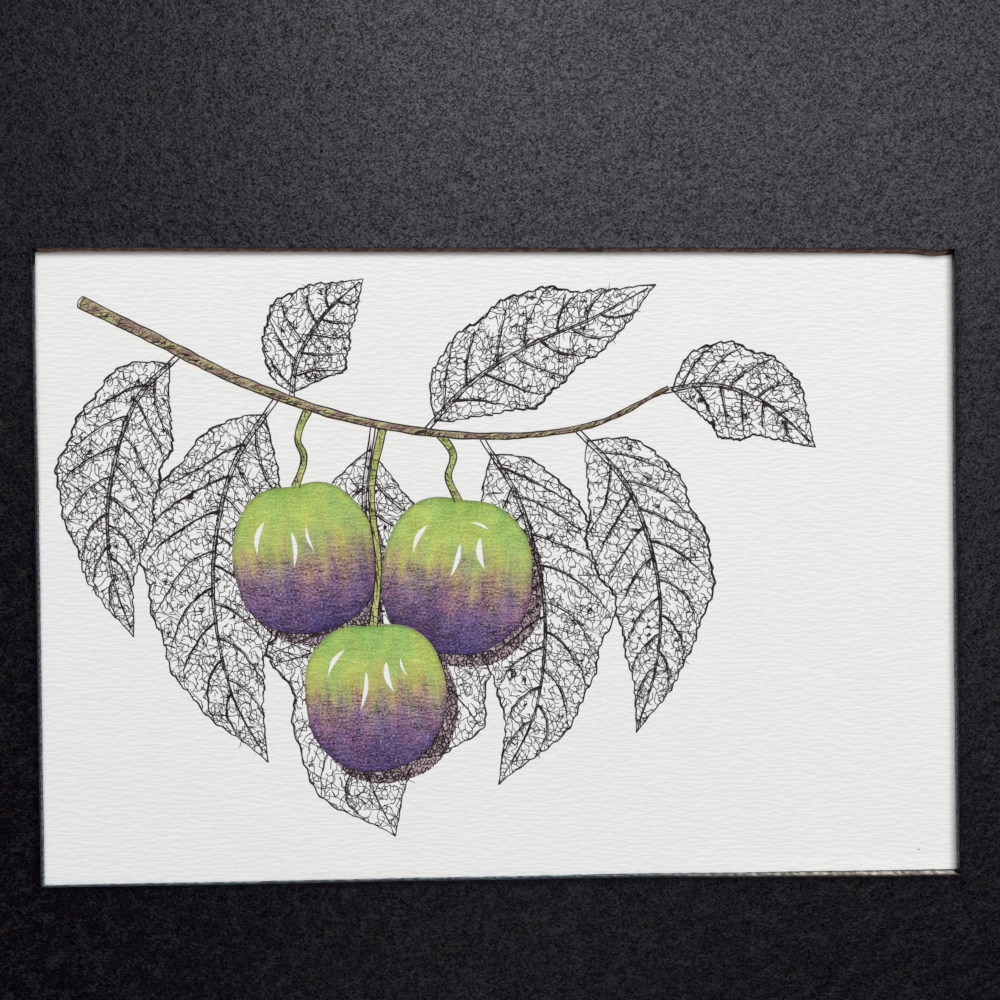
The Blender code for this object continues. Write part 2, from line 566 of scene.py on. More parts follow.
def fillOutline(outline, holes=(), inner=()):      # triangles over an outline, but not over its holes
    points, edges = [], []
    for loop in (outline, *holes):
        first = len(points)
        points += [Vector(point[:2]) for point in loop]
        edges += [(first + i, first + (i + 1) % len(loop)) for i in range(len(loop))]
    points += [Vector(point[:2]) for point in inner]
    flat, _, triangles, *_ = delaunay_2d_cdt(points, edges, [], 0, 1e-8)
    flat = numpy.array([tuple(point) for point in flat])
    triangles = numpy.array([tuple(triangle) for triangle in triangles])
    middles = flat[triangles].mean(axis=1)
    kept = insidePolygon(middles, numpy.asarray(outline, float)[:, :2])
    for hole in holes:
        kept &= ~insidePolygon(middles, numpy.asarray(hole, float)[:, :2])
    return flat, triangles[kept]


def addCap(points, faces, ring, holes, inner, dip):      # fills a ring, its inner points sunk by a rule
    flat, triangles = fillOutline(ring, holes, inner)
    rim = {(round(x, 7), round(y, 7)) for loop in (ring, *holes) for x, y, _ in loop}
    first = len(points)
    for x, y in flat:
        sunk = 0.0 if (round(x, 7), round(y, 7)) in rim else dip(x, y)
        points.append((x, y, ring[0][2] - sunk))
    faces += [tuple(first + int(i) for i in triangle) for triangle in triangles]


def stitchRings(rings, first, flip):      # the quads between one ring of points and the next
    faces = []
    count = len(rings[0])
    for level in range(len(rings) - 1):
        top, below = first + level * count, first + (level + 1) * count
        for here in range(count):
            after = (here + 1) % count
            quad = (top + here, below + here, below + after, top + after)
            faces.append(quad[::-1] if flip else quad)
    return faces


def facePit(x, y):
    swell = noise.noise(Vector((x, y, 0.0)) / mat["facePitLength"])
    return max(mat["burr"] + mat["facePit"] * swell, 0.0)


def buildWindowMat():
    inner, outer = windowRings(), outerRings()
    points, faces = [], []
    for rings, flip in ((inner, False), (outer, True)):
        faces += stitchRings(rings, len(points), flip)
        for ring in rings:
            points += ring
    random.seed(11)
    cell = mat["faceCell"]
    columns, rows = int(2 * matHigh.x / cell), int(2 * matHigh.y / cell)
    spread = [((column + random.uniform(0.2, 0.8)) * cell - matHigh.x,
               (row + random.uniform(0.2, 0.8)) * cell - matHigh.y)
              for column in range(columns) for row in range(rows)]
    near = mat["clearOfCut"]
    window = numpy.array(inner[0])[:, :2]
    grown = window + numpy.sign(window) * near
    clear = ~insidePolygon(spread, grown)
    spread = [point for point, free in zip(spread, clear)
              if free and abs(point[0]) < matHigh.x - near and abs(point[1]) < matHigh.y - near]
    addCap(points, faces, outer[0], [inner[0]], spread, facePit)
    addCap(points, faces, outer[-1], [inner[-1]], [], lambda x, y: 0.0)
    return closedMesh("windowMat", points, faces, 17)


def markWall(mesh):      # where the wall is painted black as shade of a corner overcut, and which wall is the top one
    spots = meshSpots(mesh)[:, :2]
    corners = [numpy.array(corner) for corner in windowCorners()[0]]
    overcutShaded = numpy.zeros(len(spots))
    distances = []
    for i, side in enumerate(sideNames):
        run = corners[(i + 1) % 4] - corners[i]
        run = run / numpy.hypot(*run)
        away = spots - corners[i]
        along = away @ run / mm
        off = numpy.abs(away @ numpy.array((-run[1], run[0]))) / mm
        distances.append(off)
        for drag in overcutShades:
            if drag["side"] == side:
                overcutShaded[(off < drag["deep"]) & (along > drag["from"]) & (along < drag["to"])] = 1.0
    isTop = numpy.argmin(distances, axis=0) == sideNames.index("top")
    isTop &= (numpy.abs(spots) < mat["windowReach"]).all(axis=1)
    notePoints(mesh, "drag", overcutShaded)
    notePoints(mesh, "topWall", isTop.astype(float))


def matGrainGroup():      # matted black fibres, from single ones up to soft blotches
    tree, source, result = startTree("matGrain", "ShaderNodeTree", [("Place", "NodeSocketVector", None)], [
        ("Height", "NodeSocketFloat"),
        ("Tint", "NodeSocketFloat"),
        ("Gloss", "NodeSocketFloat"),
        ("Speck", "NodeSocketFloat"),
    ])
    place = source["Place"]
    broad = grained(tree, place, (2.2 * mm, 2.2 * mm, 2.2 * mm), 20.0, detail=3.0, roughness=0.74)
    feed(tree, result["Height"], broad)
    drift = grained(tree, place, (4.2 * mm, 3.0 * mm, 1.0 * mm), 15.0, detail=3.0, roughness=0.75)
    feed(tree, result["Tint"], drift)
    soft = grained(tree, place, (1.1 * mm, 0.9 * mm, 1.0 * mm), 10.0, (0.05, 0.0, 0.0), 2.0, 1.0)
    rising = grained(tree, place, (0.40 * mm, 0.18 * mm, 1.0 * mm), 38.0, (0.01, 0.02, 0.0), 0.0)
    falling = grained(tree, place, (0.32 * mm, 0.19 * mm, 1.0 * mm), -52.0, (0.02, 0.05, 0.0), 0.0)
    fibres = maths(tree, "MAXIMUM", rising, falling)
    feed(tree, result["Gloss"], maths(tree, "MULTIPLY_ADD", fibres, 1.9, soft))
    lint = grained(tree, place, (2.3 * mm, 1.5 * mm, 1.0 * mm), 25.0, (0.0, 0.07, 0.0), 3.5, 0.72)
    fleck = grained(tree, place, (0.46 * mm, 0.22 * mm, 1.0 * mm), -6.0, (0.03, 0.01, 0.0), 0.0)
    feed(tree, result["Speck"], ranged(tree, maths(tree, "MULTIPLY_ADD", fleck, 0.7, lint), 0.77, 1.03))
    return tree


def tornShare(tree, place):      # 1 on the cream stretch of the wall at the low right, 0 elsewhere
    across, up, _ = splitVector(tree, place)
    share = ranged(tree, across, *core["tornStart"])
    share = maths(tree, "MULTIPLY", share, ranged(tree, up, *core["tornTop"]))
    for distance, limits in ((maths(tree, "ABSOLUTE", up), core["tornBottom"]), (across, core["tornEnd"])):
        share = maths(tree, "MULTIPLY", share, ranged(tree, distance, *limits))
    patch = ranged(tree, grained(tree, place, (1.6 * mm, 9.0 * mm, 3.0 * mm), detail=2.0), 0.30, 0.50)
    patch = maths(tree, "MAXIMUM", patch, ranged(tree, across, *core["tornWhole"]))
    return maths(tree, "MULTIPLY", share, patch)


def wallColour(tree, place, fibre):      # the core's colour down the wall of the cut, and along it
    _, _, high = splitVector(tree, place)
    wavy = swung(tree, fibre["Mottle"], core["waver"], high)
    raised = ranged(tree, wavy, matLow.z + 0.25 * mm, matHigh.z - 0.35 * mm)
    slate = mixed(tree, raised, core["footColour"], core["underFaceColour"])
    brown = mixed(tree, raised, core["topFootColour"], core["topUnderFaceColour"])
    wall = mixed(tree, readAttribute(tree, "topWall"), slate, brown)
    beads = grained(tree, place, (0.95 * mm, 9.0 * mm, 4.0 * mm), shift=(0.02, 0.0, 0.0))
    cream = mixed(tree, ranged(tree, beads, 0.36, 0.56), core["creamShadeColour"], core["creamColour"])
    nearFace = ranged(tree, wavy, matHigh.z - 0.62 * mm, matHigh.z - 0.42 * mm)
    nearFoot = ranged(tree, wavy, matLow.z + 0.30 * mm, matLow.z + 0.16 * mm)
    cream = mixed(tree, nearFace, cream, core["creamTopColour"])
    # painted shade: the cream goes dark at its foot, against the card
    cream = mixed(tree, nearFoot, cream, core["linerColour"])
    wall = mixed(tree, tornShare(tree, place), wall, cream)
    streaks = grained(tree, place, (1.1 * mm, 0.5 * mm, 1.2 * mm), detail=1.0)
    light = ranged(tree, streaks, 0.35, 0.68, 0.62, 1.75)
    return mixed(tree, 1.0, wall, evenVector(tree, light), "MULTIPLY")


def rectangleRub(tree, place, half, reach):
    return placeGroup(tree, edgeGroup, **{"Place": place, "Half Width": half[0], "Half Height": half[1],
                                          "Reach": reach})["Rub"]


def facingColour(tree, grain, rim, rub):
    drift = ranged(tree, grain["Tint"], 0.38, 0.62)
    specks = maths(tree, "POWER", grain["Speck"], facing["fluffSharpness"])
    fluff = maths(tree, "MULTIPLY", specks, facing["fluff"])
    tint = mixed(tree, drift, facing["plum"], facing["navy"])
    colour = mixed(tree, 1.0, tint, evenVector(tree, fluff), "ADD")
    # painted shade: the facing is darkened beside the cut on all sides but the top
    colour = mixed(tree, maths(tree, "MULTIPLY", rim, facing["rimShare"]), colour, facing["rimColour"])
    return mixed(tree, maths(tree, "MULTIPLY", rub, facing["rubShare"]), colour, facing["rubColour"])


def matFinish():
    material, tree, shader, place = newSurface("blackMat", facing["rough"], facing["specular"])
    shader.inputs["Specular Tint"].default_value = facing["specularTint"]
    shader.inputs["Coat Roughness"].default_value = facing["coatRough"]
    _, up, high = splitVector(tree, place)
    grain = placeGroup(tree, matGrainGroup(), Place=place)
    fibre = placeGroup(tree, fibreGroup, Place=place, Fibre=0.5 * mm)
    rub = rectangleRub(tree, place, (matHigh.x, matHigh.y), facing["rubReach"])
    # the mask of the painted shade beside the cut, fading out under the top side
    rim = rectangleRub(tree, place, facing["rimHalf"], facing["rimReach"])
    rim = maths(tree, "MULTIPLY", rim, ranged(tree, up, *facing["rimTop"]))
    wavy = maths(tree, "MULTIPLY_ADD", fibre["Mottle"], 0.08 * mm, high)
    plyTop = matHigh.z - mat["facePly"] + 0.04 * mm
    isFace = ranged(tree, wavy, plyTop - facing["blend"], plyTop + facing["blend"])
    # painted shade: the wall is black like the facing where a corner's overcut would lie in deep shade
    overcutShaded = maths(tree, "MULTIPLY", readAttribute(tree, "drag"), 0.97)
    isBlack = maths(tree, "MAXIMUM", isFace, overcutShaded)
    colour = mixed(tree, isBlack, wallColour(tree, place, fibre), facingColour(tree, grain, rim, rub))
    feed(tree, shader.inputs["Base Color"], colour)
    feed(tree, shader.inputs["Roughness"], ranged(tree, isFace, 0.0, 1.0, core["rough"], facing["rough"]))
    glint = maths(tree, "POWER", ranged(tree, grain["Gloss"], 1.08, 2.10), 1.5)
    sheen = maths(tree, "MULTIPLY", maths(tree, "MULTIPLY", glint, facing["glint"]), isFace)
    dull = maths(tree, "MULTIPLY_ADD", rim, -facing["rimDull"], 1.0)
    feed(tree, shader.inputs["Coat Weight"], maths(tree, "MULTIPLY", sheen, dull))
    addBump(tree, shader, grain["Height"], facing["bump"])
    return material


matMesh = buildWindowMat()
markWall(matMesh)
finishPiece(makeObject("windowMat", matMesh, matFinish()), "black_mat", "mat_board")


# Card

cardLow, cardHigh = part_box("art_card")
card = {
    "columns": 150,
    "rows": 620,
    "colour": (0.918, 0.919, 0.903),
    # painted shade: the card's colour darkens in the felt marks' hollows, on top of the relief's own
    # shading
    "shadeColour": (0.839, 0.840, 0.830),
    "rough": 0.9,
    "bump": 0.03 * mm,
}


def buildCard():
    columns, rows = card["columns"], card["rows"]
    size = cardHigh - cardLow
    points = [(cardLow.x + size.x * column / columns, cardLow.y + size.y * row / rows, cardHigh.z)
              for row in range(rows + 1) for column in range(columns + 1)]
    faces, rim = gridFaces(columns, rows)
    first = len(points)
    points += [(points[i][0], points[i][1], cardLow.z) for i in rim]
    for i in range(len(rim)):
        after = (i + 1) % len(rim)
        faces.append((rim[i], first + i, first + after, rim[after]))
    faces.append(tuple(range(len(points) - 1, first - 1, -1)))
    return rawMesh("cardBlank", points, faces)


def cardFinish():
    material, tree, shader, place = newSurface("feltCardStock", card["rough"], 0.25)
    marks = placeGroup(tree, feltGroup, Place=place)["Height"]
    fibre = placeGroup(tree, fibreGroup, Place=place, Fibre=0.45 * mm)
    cloud = grained(tree, place, (9 * mm, 6 * mm, 1.0 * mm), detail=2.0)
    # the tone follows the felt marks as painted shade in their hollows, with random cloud and fibre mottle
    tone = maths(tree, "MULTIPLY_ADD", cloud, 0.12, marks)
    tone = maths(tree, "MULTIPLY_ADD", fibre["Mottle"], 0.25, tone)
    colour = mixed(tree, ranged(tree, tone, 0.50, 0.87), card["shadeColour"], card["colour"])
    feed(tree, shader.inputs["Base Color"], colour)
    addBump(tree, shader, maths(tree, "MULTIPLY_ADD", fibre["Mottle"], 0.2, marks), card["bump"])
    return material


cardMaterial = cardFinish()
cardMiddle = (cardLow.z + cardHigh.z) / 2
cardMesh = runTree("feltCard", buildCard(), reliefTree, Lowest=cardMiddle, Finish=cardMaterial)
shadeRound(cardMesh, 50)
finishPiece(makeObject("feltCard", cardMesh), "white_card", "art_card")


# Two stray bits: a crumb on the card, and a hair of torn facing at the window's low right corner

strays = {
    "crumb": (66.87 * mm, -46.24 * mm),
    "crumbReach": (0.27 * mm, 0.13 * mm, 0.06 * mm),
    "crumbRise": 0.03 * mm,
    "crumbColours": ((0.64, 0.65, 0.59), (0.48, 0.49, 0.44)),
    "hair": [(71.50, -49.56, 4.20), (71.95, -49.66, 4.32), (72.40, -49.76, 4.42), (72.78, -49.86, 4.50)],
    "hairHalf": 0.045 * mm,
    "hairSides": 6,
    "hairColours": ((0.26, 0.26, 0.265), (0.15, 0.15, 0.155)),
}


def strayFinish(name, light, dark):
    material, tree, shader, place = newSurface(name, 0.9, 0.2)
    speckle = noiseField(tree, place, 2.0, 0.6, 5000.0)
    feed(tree, shader.inputs["Base Color"], mixed(tree, speckle, dark, light))
    return material


def buildCrumb():      # a lumpy flattened grain
    body = bmesh.new()
    bmesh.ops.create_icosphere(body, subdivisions=3, radius=1.0)
    for vertex in body.verts:
        swell = 1.0 + 0.35 * noise.noise(vertex.co * 1.7)
        x, y, z = (c * r * swell for c, r in zip(vertex.co, strays["crumbReach"]))
        vertex.co = (strays["crumb"][0] + x, strays["crumb"][1] + y, cardHigh.z + strays["crumbRise"] + z)
    mesh = bpy.data.meshes.new("cardCrumb")
    body.to_mesh(mesh)
    body.free()
    mesh.shade_smooth()
    return mesh


def buildHair():      # a six-sided fibre that thins to its ends
    path = [Vector(spot) * mm for spot in strays["hair"]]
    run = (path[-1] - path[0]).normalized()
    across = run.cross(Vector((0, 0, 1))).normalized()
    rise = across.cross(run)
    sides = strays["hairSides"]
    points, faces = [], []
    for step, spot in enumerate(path):
        half = strays["hairHalf"] * (1.0 - 0.5 * abs(2 * step / (len(path) - 1) - 1))
        for turn in range(sides):
            angle = turn * 2 * math.pi / sides
            points.append(spot + (across * math.cos(angle) + rise * math.sin(angle)) * half)
    for first in range(0, len(points) - sides, sides):
        for turn in range(sides):
            here, after = first + turn, first + (turn + 1) % sides
            faces.append((here, after, after + sides, here + sides))
    faces += [tuple(range(sides - 1, -1, -1)), tuple(range(len(points) - sides, len(points)))]
    return closedMesh("cutHair", points, faces, 50)


ridePiece(makeObject("cardCrumb", buildCrumb(), strayFinish("crumbDust", *strays["crumbColours"])))
ridePiece(makeObject("cutHair", buildHair(), strayFinish("hairPaper", *strays["hairColours"])))


# Boards and tapes behind the card

def pushedRing(middle, half, level, step, inset):      # points round a rectangle, each pushed in a little
    corners, spots = rectangleSpots(half, step)
    ring = []
    for spot in spots:
        push = inset(spot, min((spot - corner).length for corner in corners))
        across = spot.x - math.copysign(push, spot.x) * (abs(spot.x) > half.x - 1e-6)
        up = spot.y - math.copysign(push, spot.y) * (abs(spot.y) > half.y - 1e-6)
        ring.append((middle.x + across, middle.y + up, level))
    return ring


def layeredSlab(name, low, high, shape):      # an edge profile round a sheet, both faces filled
    middle, half = (low + high) / 2, (high - low) / 2
    rings = []
    for share, inward in shape["profile"]:
        level = high.z + (low.z - high.z) * share

        def inset(point, toCorner):
            spot = Vector((point.x + middle.x, point.y + middle.y, level * 3.0))
            wave = shape["wave"] * (1.0 + noise.noise(spot / shape["waveLength"])) / 2
            blunt = shape["blunt"] * max(0.0, 1.0 - toCorner / shape["bluntReach"]) ** 2
            return inward * mm + wave + blunt

        rings.append(pushedRing(middle, half, level, shape["step"], inset))
    points = [point for ring in rings for point in ring]
    faces = stitchRings(rings, 0, True)
    random.seed(shape["seed"])
    cell = shape["cell"]
    columns, rows = int(2 * half.x / cell), int(2 * half.y / cell)
    spread = [(low.x + (column + random.random()) * cell, low.y + (row + random.random()) * cell)
              for column in range(1, columns - 1) for row in range(1, rows - 1)]
    for ring, away in ((rings[0], -1), (rings[-1], 1)):

        def dip(x, y):
            pit = 0.5 + noise.noise(Vector((x, y, away)) / shape["pitLength"])
            return -away * max(pit, 0.0) * shape["pit"]

        addCap(points, faces, ring, [], spread, dip)
    return closedMesh(name, points, faces, 35)


def drapedSheet(name, low, high, sheet, heightAt):      # a thin torn sheet over what is below it
    columns, rows = sheet["cells"]
    size = high - low
    points = []
    for layer in (1, 0):
        for row in range(rows + 1):
            for column in range(columns + 1):
                x, y = low.x + size.x * column / columns, low.y + size.y * row / rows
                pull = sheet["torn"] * (0.5 + noise.noise(Vector((x, y, 2.0)) / hinge["tornLength"]) / 2)
                atX = (column == 0) - (column == columns)
                atY = (row == 0) - (row == rows)
                height = heightAt(x, y) + sheet["thick"] * layer
                points.append((x + pull * atX, y + pull * atY, height))
    lower = len(points) // 2
    quads, rim = gridFaces(columns, rows)
    faces = []
    for quad in quads:
        faces += [quad, tuple(lower + i for i in quad[::-1])]
    for here, after in zip(rim, rim[1:] + rim[:1]):
        faces.append((here, lower + here, lower + after, after))
    return closedMesh(name, points, faces, 40)


def stockFinish(name, stock):      # board, foam, tissue or cloth
    material, tree, shader, place = newSurface(name, stock["rough"], 0.25)
    grain = placeGroup(tree, fibreGroup, Place=place, Fibre=stock["fibre"])
    cloud = grained(tree, place, (14 * mm, 10 * mm, 5 * mm), detail=3.0)
    tone = maths(tree, "MULTIPLY_ADD", cloud, 0.6, grain["Mottle"])
    colour = mixed(tree, ranged(tree, tone, 0.55, 1.05), stock["dark"], stock["light"])
    fleckColour = tuple(0.45 * part for part in stock["dark"])
    colour = mixed(tree, maths(tree, "MULTIPLY", grain["Fleck"], 0.45), colour, fleckColour)
    feed(tree, shader.inputs["Base Color"], colour)
    addBump(tree, shader, grain["Mottle"], stock["bump"])
    return material


backing = {
    "rise": 0.1 * mm,      # the visible board fills half of the gap over its solid
    "stock": {"light": (0.405, 0.380, 0.335), "dark": (0.300, 0.282, 0.250), "fibre": 0.7 * mm,
              "rough": 0.92, "bump": 0.03 * mm},
    "shape": {
        "profile": [(0.0, 0.26), (0.03, 0.10), (0.09, 0.02), (0.25, 0.0), (0.45, 0.03), (0.55, 0.0),
                    (0.8, 0.0), (0.92, 0.03), (0.97, 0.12), (1.0, 0.30)],
        "step": 1.5 * mm, "wave": 0.10 * mm, "waveLength": 2.5 * mm,
        "blunt": 0.55 * mm, "bluntReach": 2.6 * mm,
        "cell": 3.0 * mm, "pit": 0.05 * mm, "pitLength": 11.0 * mm, "seed": 5,
    },
}
backLow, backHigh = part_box("backing_board")
backTop = backHigh + Vector((0, 0, backing["rise"]))
backMesh = layeredSlab("greyBacking", backLow, backTop, backing["shape"])
greyBacking = makeObject("greyBacking", backMesh, stockFinish("greyBoard", backing["stock"]))
finishPiece(greyBacking, "grey_board", "backing_board")

tape = {
    "drop": 0.1 * mm,      # it touches the board below and the mat above
    "stock": {"light": (0.770, 0.765, 0.730), "dark": (0.660, 0.650, 0.610), "fibre": 0.35 * mm,
              "rough": 0.7, "bump": 0.02 * mm},
    "shape": {
        "profile": [(0.0, 0.06), (0.05, 0.0), (0.13, 0.01), (0.17, 0.07), (0.34, 0.16), (0.5, 0.20),
                    (0.66, 0.16), (0.83, 0.07), (0.87, 0.01), (0.95, 0.0), (1.0, 0.06)],
        "step": 1.0 * mm, "wave": 0.16 * mm, "waveLength": 6.0 * mm,
        "blunt": 0.25 * mm, "bluntReach": 1.5 * mm,
        "cell": 2.0 * mm, "pit": 0.0, "pitLength": 5.0 * mm, "seed": 8,
    },
}
tapeMaterial = stockFinish("tapeFoam", tape["stock"])
for side in sideNames:
    tapeLow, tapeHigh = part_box("tape_" + side)
    grow = Vector((0, 0, tape["drop"]))
    tapeName = "tape" + side.capitalize()
    tapeMesh = layeredSlab(tapeName, tapeLow - grow, tapeHigh + grow, tape["shape"])
    finishPiece(makeObject(tapeName, tapeMesh, tapeMaterial), "foam_tape", "tape_" + side)

hinge = {
    "tissue": {"thick": 0.07 * mm, "torn": 0.45 * mm, "cells": (26, 70)},
    "tissueStock": {"light": (0.780, 0.745, 0.640), "dark": (0.690, 0.650, 0.540), "fibre": 1.6 * mm,
                    "rough": 0.85, "bump": 0.01 * mm},
    "cloth": {"thick": 0.11 * mm, "torn": 0.12 * mm, "cells": (148, 37)},
    "clothStock": {"light": (0.800, 0.780, 0.700), "dark": (0.650, 0.625, 0.540), "fibre": 0.5 * mm,
                   "rough": 0.85, "bump": 0.01 * mm},
    "tornLength": 0.9 * mm,
    "rest": 0.004 * mm,      # clear of the board, so that the two faces don't coincide
    "climb": (52.8 * mm, 56.5 * mm),      # where a tab drops from the card's back to the board
    "shoulder": (9.8 * mm, 11.0 * mm),      # where a strip drops from the tab's side to the board
    "overTab": 0.012 * mm,
    "clothRest": 0.02 * mm,
    "thread": 1.2 * mm,
    "threadRise": 0.016 * mm,
}
tissueMaterial = stockFinish("hingeTissue", hinge["tissueStock"])
clothMaterial = stockFinish("stripLinen", hinge["clothStock"])


def stepDown(value, first, last):      # 1 before the first place, 0 after the last, smooth between
    share = min(max((last - value) / (last - first), 0.0), 1.0)
    return share * share * (3 - 2 * share)


for word in ("left", "right"):
    tabLow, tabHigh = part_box("hanging_tab_" + word)
    crossLow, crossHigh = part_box("cross_strip_" + word)
    tabMiddle = (tabLow.x + tabHigh.x) / 2
    rest = backTop.z + hinge["rest"]
    underCard = cardLow.z - hinge["tissue"]["thick"]

    def tabHeight(x, y):
        return rest + (underCard - rest) * stepDown(y, *hinge["climb"])

    def crossHeight(x, y):
        over = hinge["tissue"]["thick"] + hinge["overTab"]
        over *= stepDown(abs(x - tabMiddle), *hinge["shoulder"])
        weave = math.sin(2 * math.pi * x / hinge["thread"]) * math.sin(2 * math.pi * y / hinge["thread"])
        return rest + hinge["clothRest"] + over + hinge["threadRise"] * weave

    title = word.capitalize()
    tabMesh = drapedSheet("tab" + title, tabLow, tabHigh, hinge["tissue"], tabHeight)
    finishPiece(makeObject("tab" + title, tabMesh, tissueMaterial), "tab_tissue", "hanging_tab_" + word)
    crossMesh = drapedSheet("cross" + title, crossLow, crossHigh, hinge["cloth"], crossHeight)
    finishPiece(makeObject("cross" + title, crossMesh, clothMaterial), "cross_tape", "cross_strip_" + word)


# The drawing: a sprig of its own layout. Places are in millimetres from the middle of the card

ink = {
    "level": 0.045 * mm,      # over the card's flat face
    "washTop": 0.028 * mm,
    "washBottom": -0.03 * mm,
    "flatten": 0.92,
    "sample": 0.15 * mm,
    "tremble": 0.09 * mm,
    "trembleLength": 1.7 * mm,
    "netHalfWidth": 0.078 * mm,
    "netCell": 0.86 * mm,
    "shadowCell": 0.58 * mm,
    "shadowHalfWidth": 0.12 * mm,
    "shadowLoss": 0.2,
    "shadowShift": (1.7, -1.9),
    "netStray": 0.60,      # how far a net's points leave their rows, in cells
    "netStep": 0.28,      # from point to point along its lines, in cells
    "netSway": 0.24,      # how far the lines waver, in cells
    "colours": ((0.015, 0.007, 0.008), (0.046, 0.028, 0.031)),
}
# Half widths of the pen's strokes, in millimetres
nib = {
    "margin": 0.17, "secondMargin": 0.10, "midrib": 0.15, "ribMiddle": 0.07, "vein": 0.155,
    "besideVein": 0.08, "hatch": 0.075, "knot": 0.11, "stemLeft": 0.13, "stemRight": 0.15,
    "stemEnd": 0.10, "bark": 0.07, "fruitFoot": 0.06,
}
# The passes of the net, closed cells first and then loose crossing strokes
netLayers = [
    {"cell": 0.95, "stretch": 2.1, "turn": 0.25, "loss": 0.36, "width": 1.0, "closed": True},
    {"cell": 1.15, "stretch": 1.9, "turn": -0.75, "loss": 0.46, "width": 0.95, "closed": True},
    {"cell": 0.95, "stretch": 2.2, "turn": 1.15, "loss": 0.60, "width": 0.9, "closed": False},
]
branch = {"path": [(-66, 42), (-55, 36.5), (-40, 29), (-22, 23), (-3, 20.5), (14, 22), (27, 28)],
          "thick": 0.95, "thin": 0.32, "knots": 0.16, "hatch": 330, "seed": 77}
stalk = {"thin": 0.46, "root": 0.24, "foot": 0.22, "hatch": 34}      # its swell at both ends
# Front to back. The size is the half width and half height, and the glints are lenses in the
# fruit's own square: from where to where, how fat and how bowed
fruits = [
    {"name": "FruitLow", "middle": (-20, -20.5), "size": (11.2, 12.0), "lean": 4, "seed": 1,
     "stalk": [(-18.5, 22.2), (-20.4, 12), (-19.4, 0), (-20.3, -9.6)],
     "glints": [(-0.62, 0.30, -0.36, 0.62, 0.75, 0.5), (-0.22, -0.20, -0.10, 0.34, 0.7, -0.4),
                (0.26, 0.02, 0.18, 0.44, 0.95, 0.5), (0.46, 0.22, 0.36, 0.46, 0.42, 0.3)]},
    {"name": "FruitRight", "middle": (-7, -1.5), "size": (12.0, 12.8), "lean": -7, "seed": 2,
     "stalk": [(-9.6, 21.0), (-7.4, 17.6), (-8.2, 14), (-6.6, 10.2)],
     "glints": [(-0.60, 0.22, -0.42, 0.56, 0.8, 0.5), (-0.08, -0.05, 0.00, 0.42, 0.8, -0.3),
                (0.36, 0.10, 0.24, 0.50, 1.0, 0.5), (0.10, 0.70, 0.34, 0.60, 0.45, 0.3)]},
    {"name": "FruitLeft", "middle": (-31, 1.5), "size": (11.4, 12.2), "lean": 9, "seed": 3,
     "stalk": [(-30.2, 25.2), (-32.0, 20.5), (-31.0, 17), (-32.4, 12.6)],
     "glints": [(-0.64, 0.12, -0.44, 0.54, 0.85, 0.6), (-0.16, -0.12, -0.12, 0.36, 0.75, -0.4),
                (0.14, 0.06, 0.08, 0.40, 0.5, 0.3)]},
]
leaves = [
    {"name": "LeafFarLeft", "rib": [(-50, 34), (-57.5, 26), (-61.5, 13), (-61.5, 0), (-58, -11)],
     "width": 7.8, "swell": 0.72, "waves": 2.3, "teeth": 24, "veins": 7, "seed": 3},
    {"name": "LeafTop", "rib": [(-33, 26.2), (-32, 32.5), (-28, 39.5), (-21.5, 45.5)],
     "width": 6.8, "swell": 0.75, "waves": 1.6, "teeth": 17, "veins": 5, "seed": 7},
    {"name": "LeafTopRight", "rib": [(-12, 21.2), (-4.5, 29), (5, 35), (14.5, 39), (25, 44.5)],
     "width": 8.0, "swell": 0.74, "waves": 2.1, "teeth": 22, "veins": 6, "seed": 11},
    {"name": "LeafRight", "rib": [(12, 21.8), (20.5, 12), (25, -2), (25, -15), (21.5, -27)],
     "width": 8.8, "swell": 0.70, "waves": 2.4, "teeth": 26, "veins": 7, "seed": 17},
    {"name": "LeafEnd", "rib": [(26, 27.5), (34, 28.5), (42.5, 25.5), (50.5, 18.5)],
     "width": 7.2, "swell": 0.76, "waves": 1.9, "teeth": 19, "veins": 5, "seed": 23},
    {"name": "LeafLowLeft", "rib": [(-35, 27), (-42.5, 15), (-45.5, -2), (-43, -19), (-37, -31)],
     "width": 11.0, "swell": 0.76, "waves": 2.6, "teeth": 27, "veins": 8, "seed": 29},
    {"name": "LeafLowRight", "rib": [(-3, 20.5), (3.5, 9), (7, -7), (5.5, -23), (-0.5, -35)],
     "width": 11.0, "swell": 0.74, "waves": 2.5, "teeth": 28, "veins": 8, "seed": 31},
    {"name": "LeafLow", "rib": [(-20, 22.4), (-21.5, 8), (-18.5, -14), (-21.5, -31), (-17, -43)],
     "width": 18.0, "swell": 0.92, "waves": 3.1, "teeth": 34, "veins": 9, "seed": 37},
]
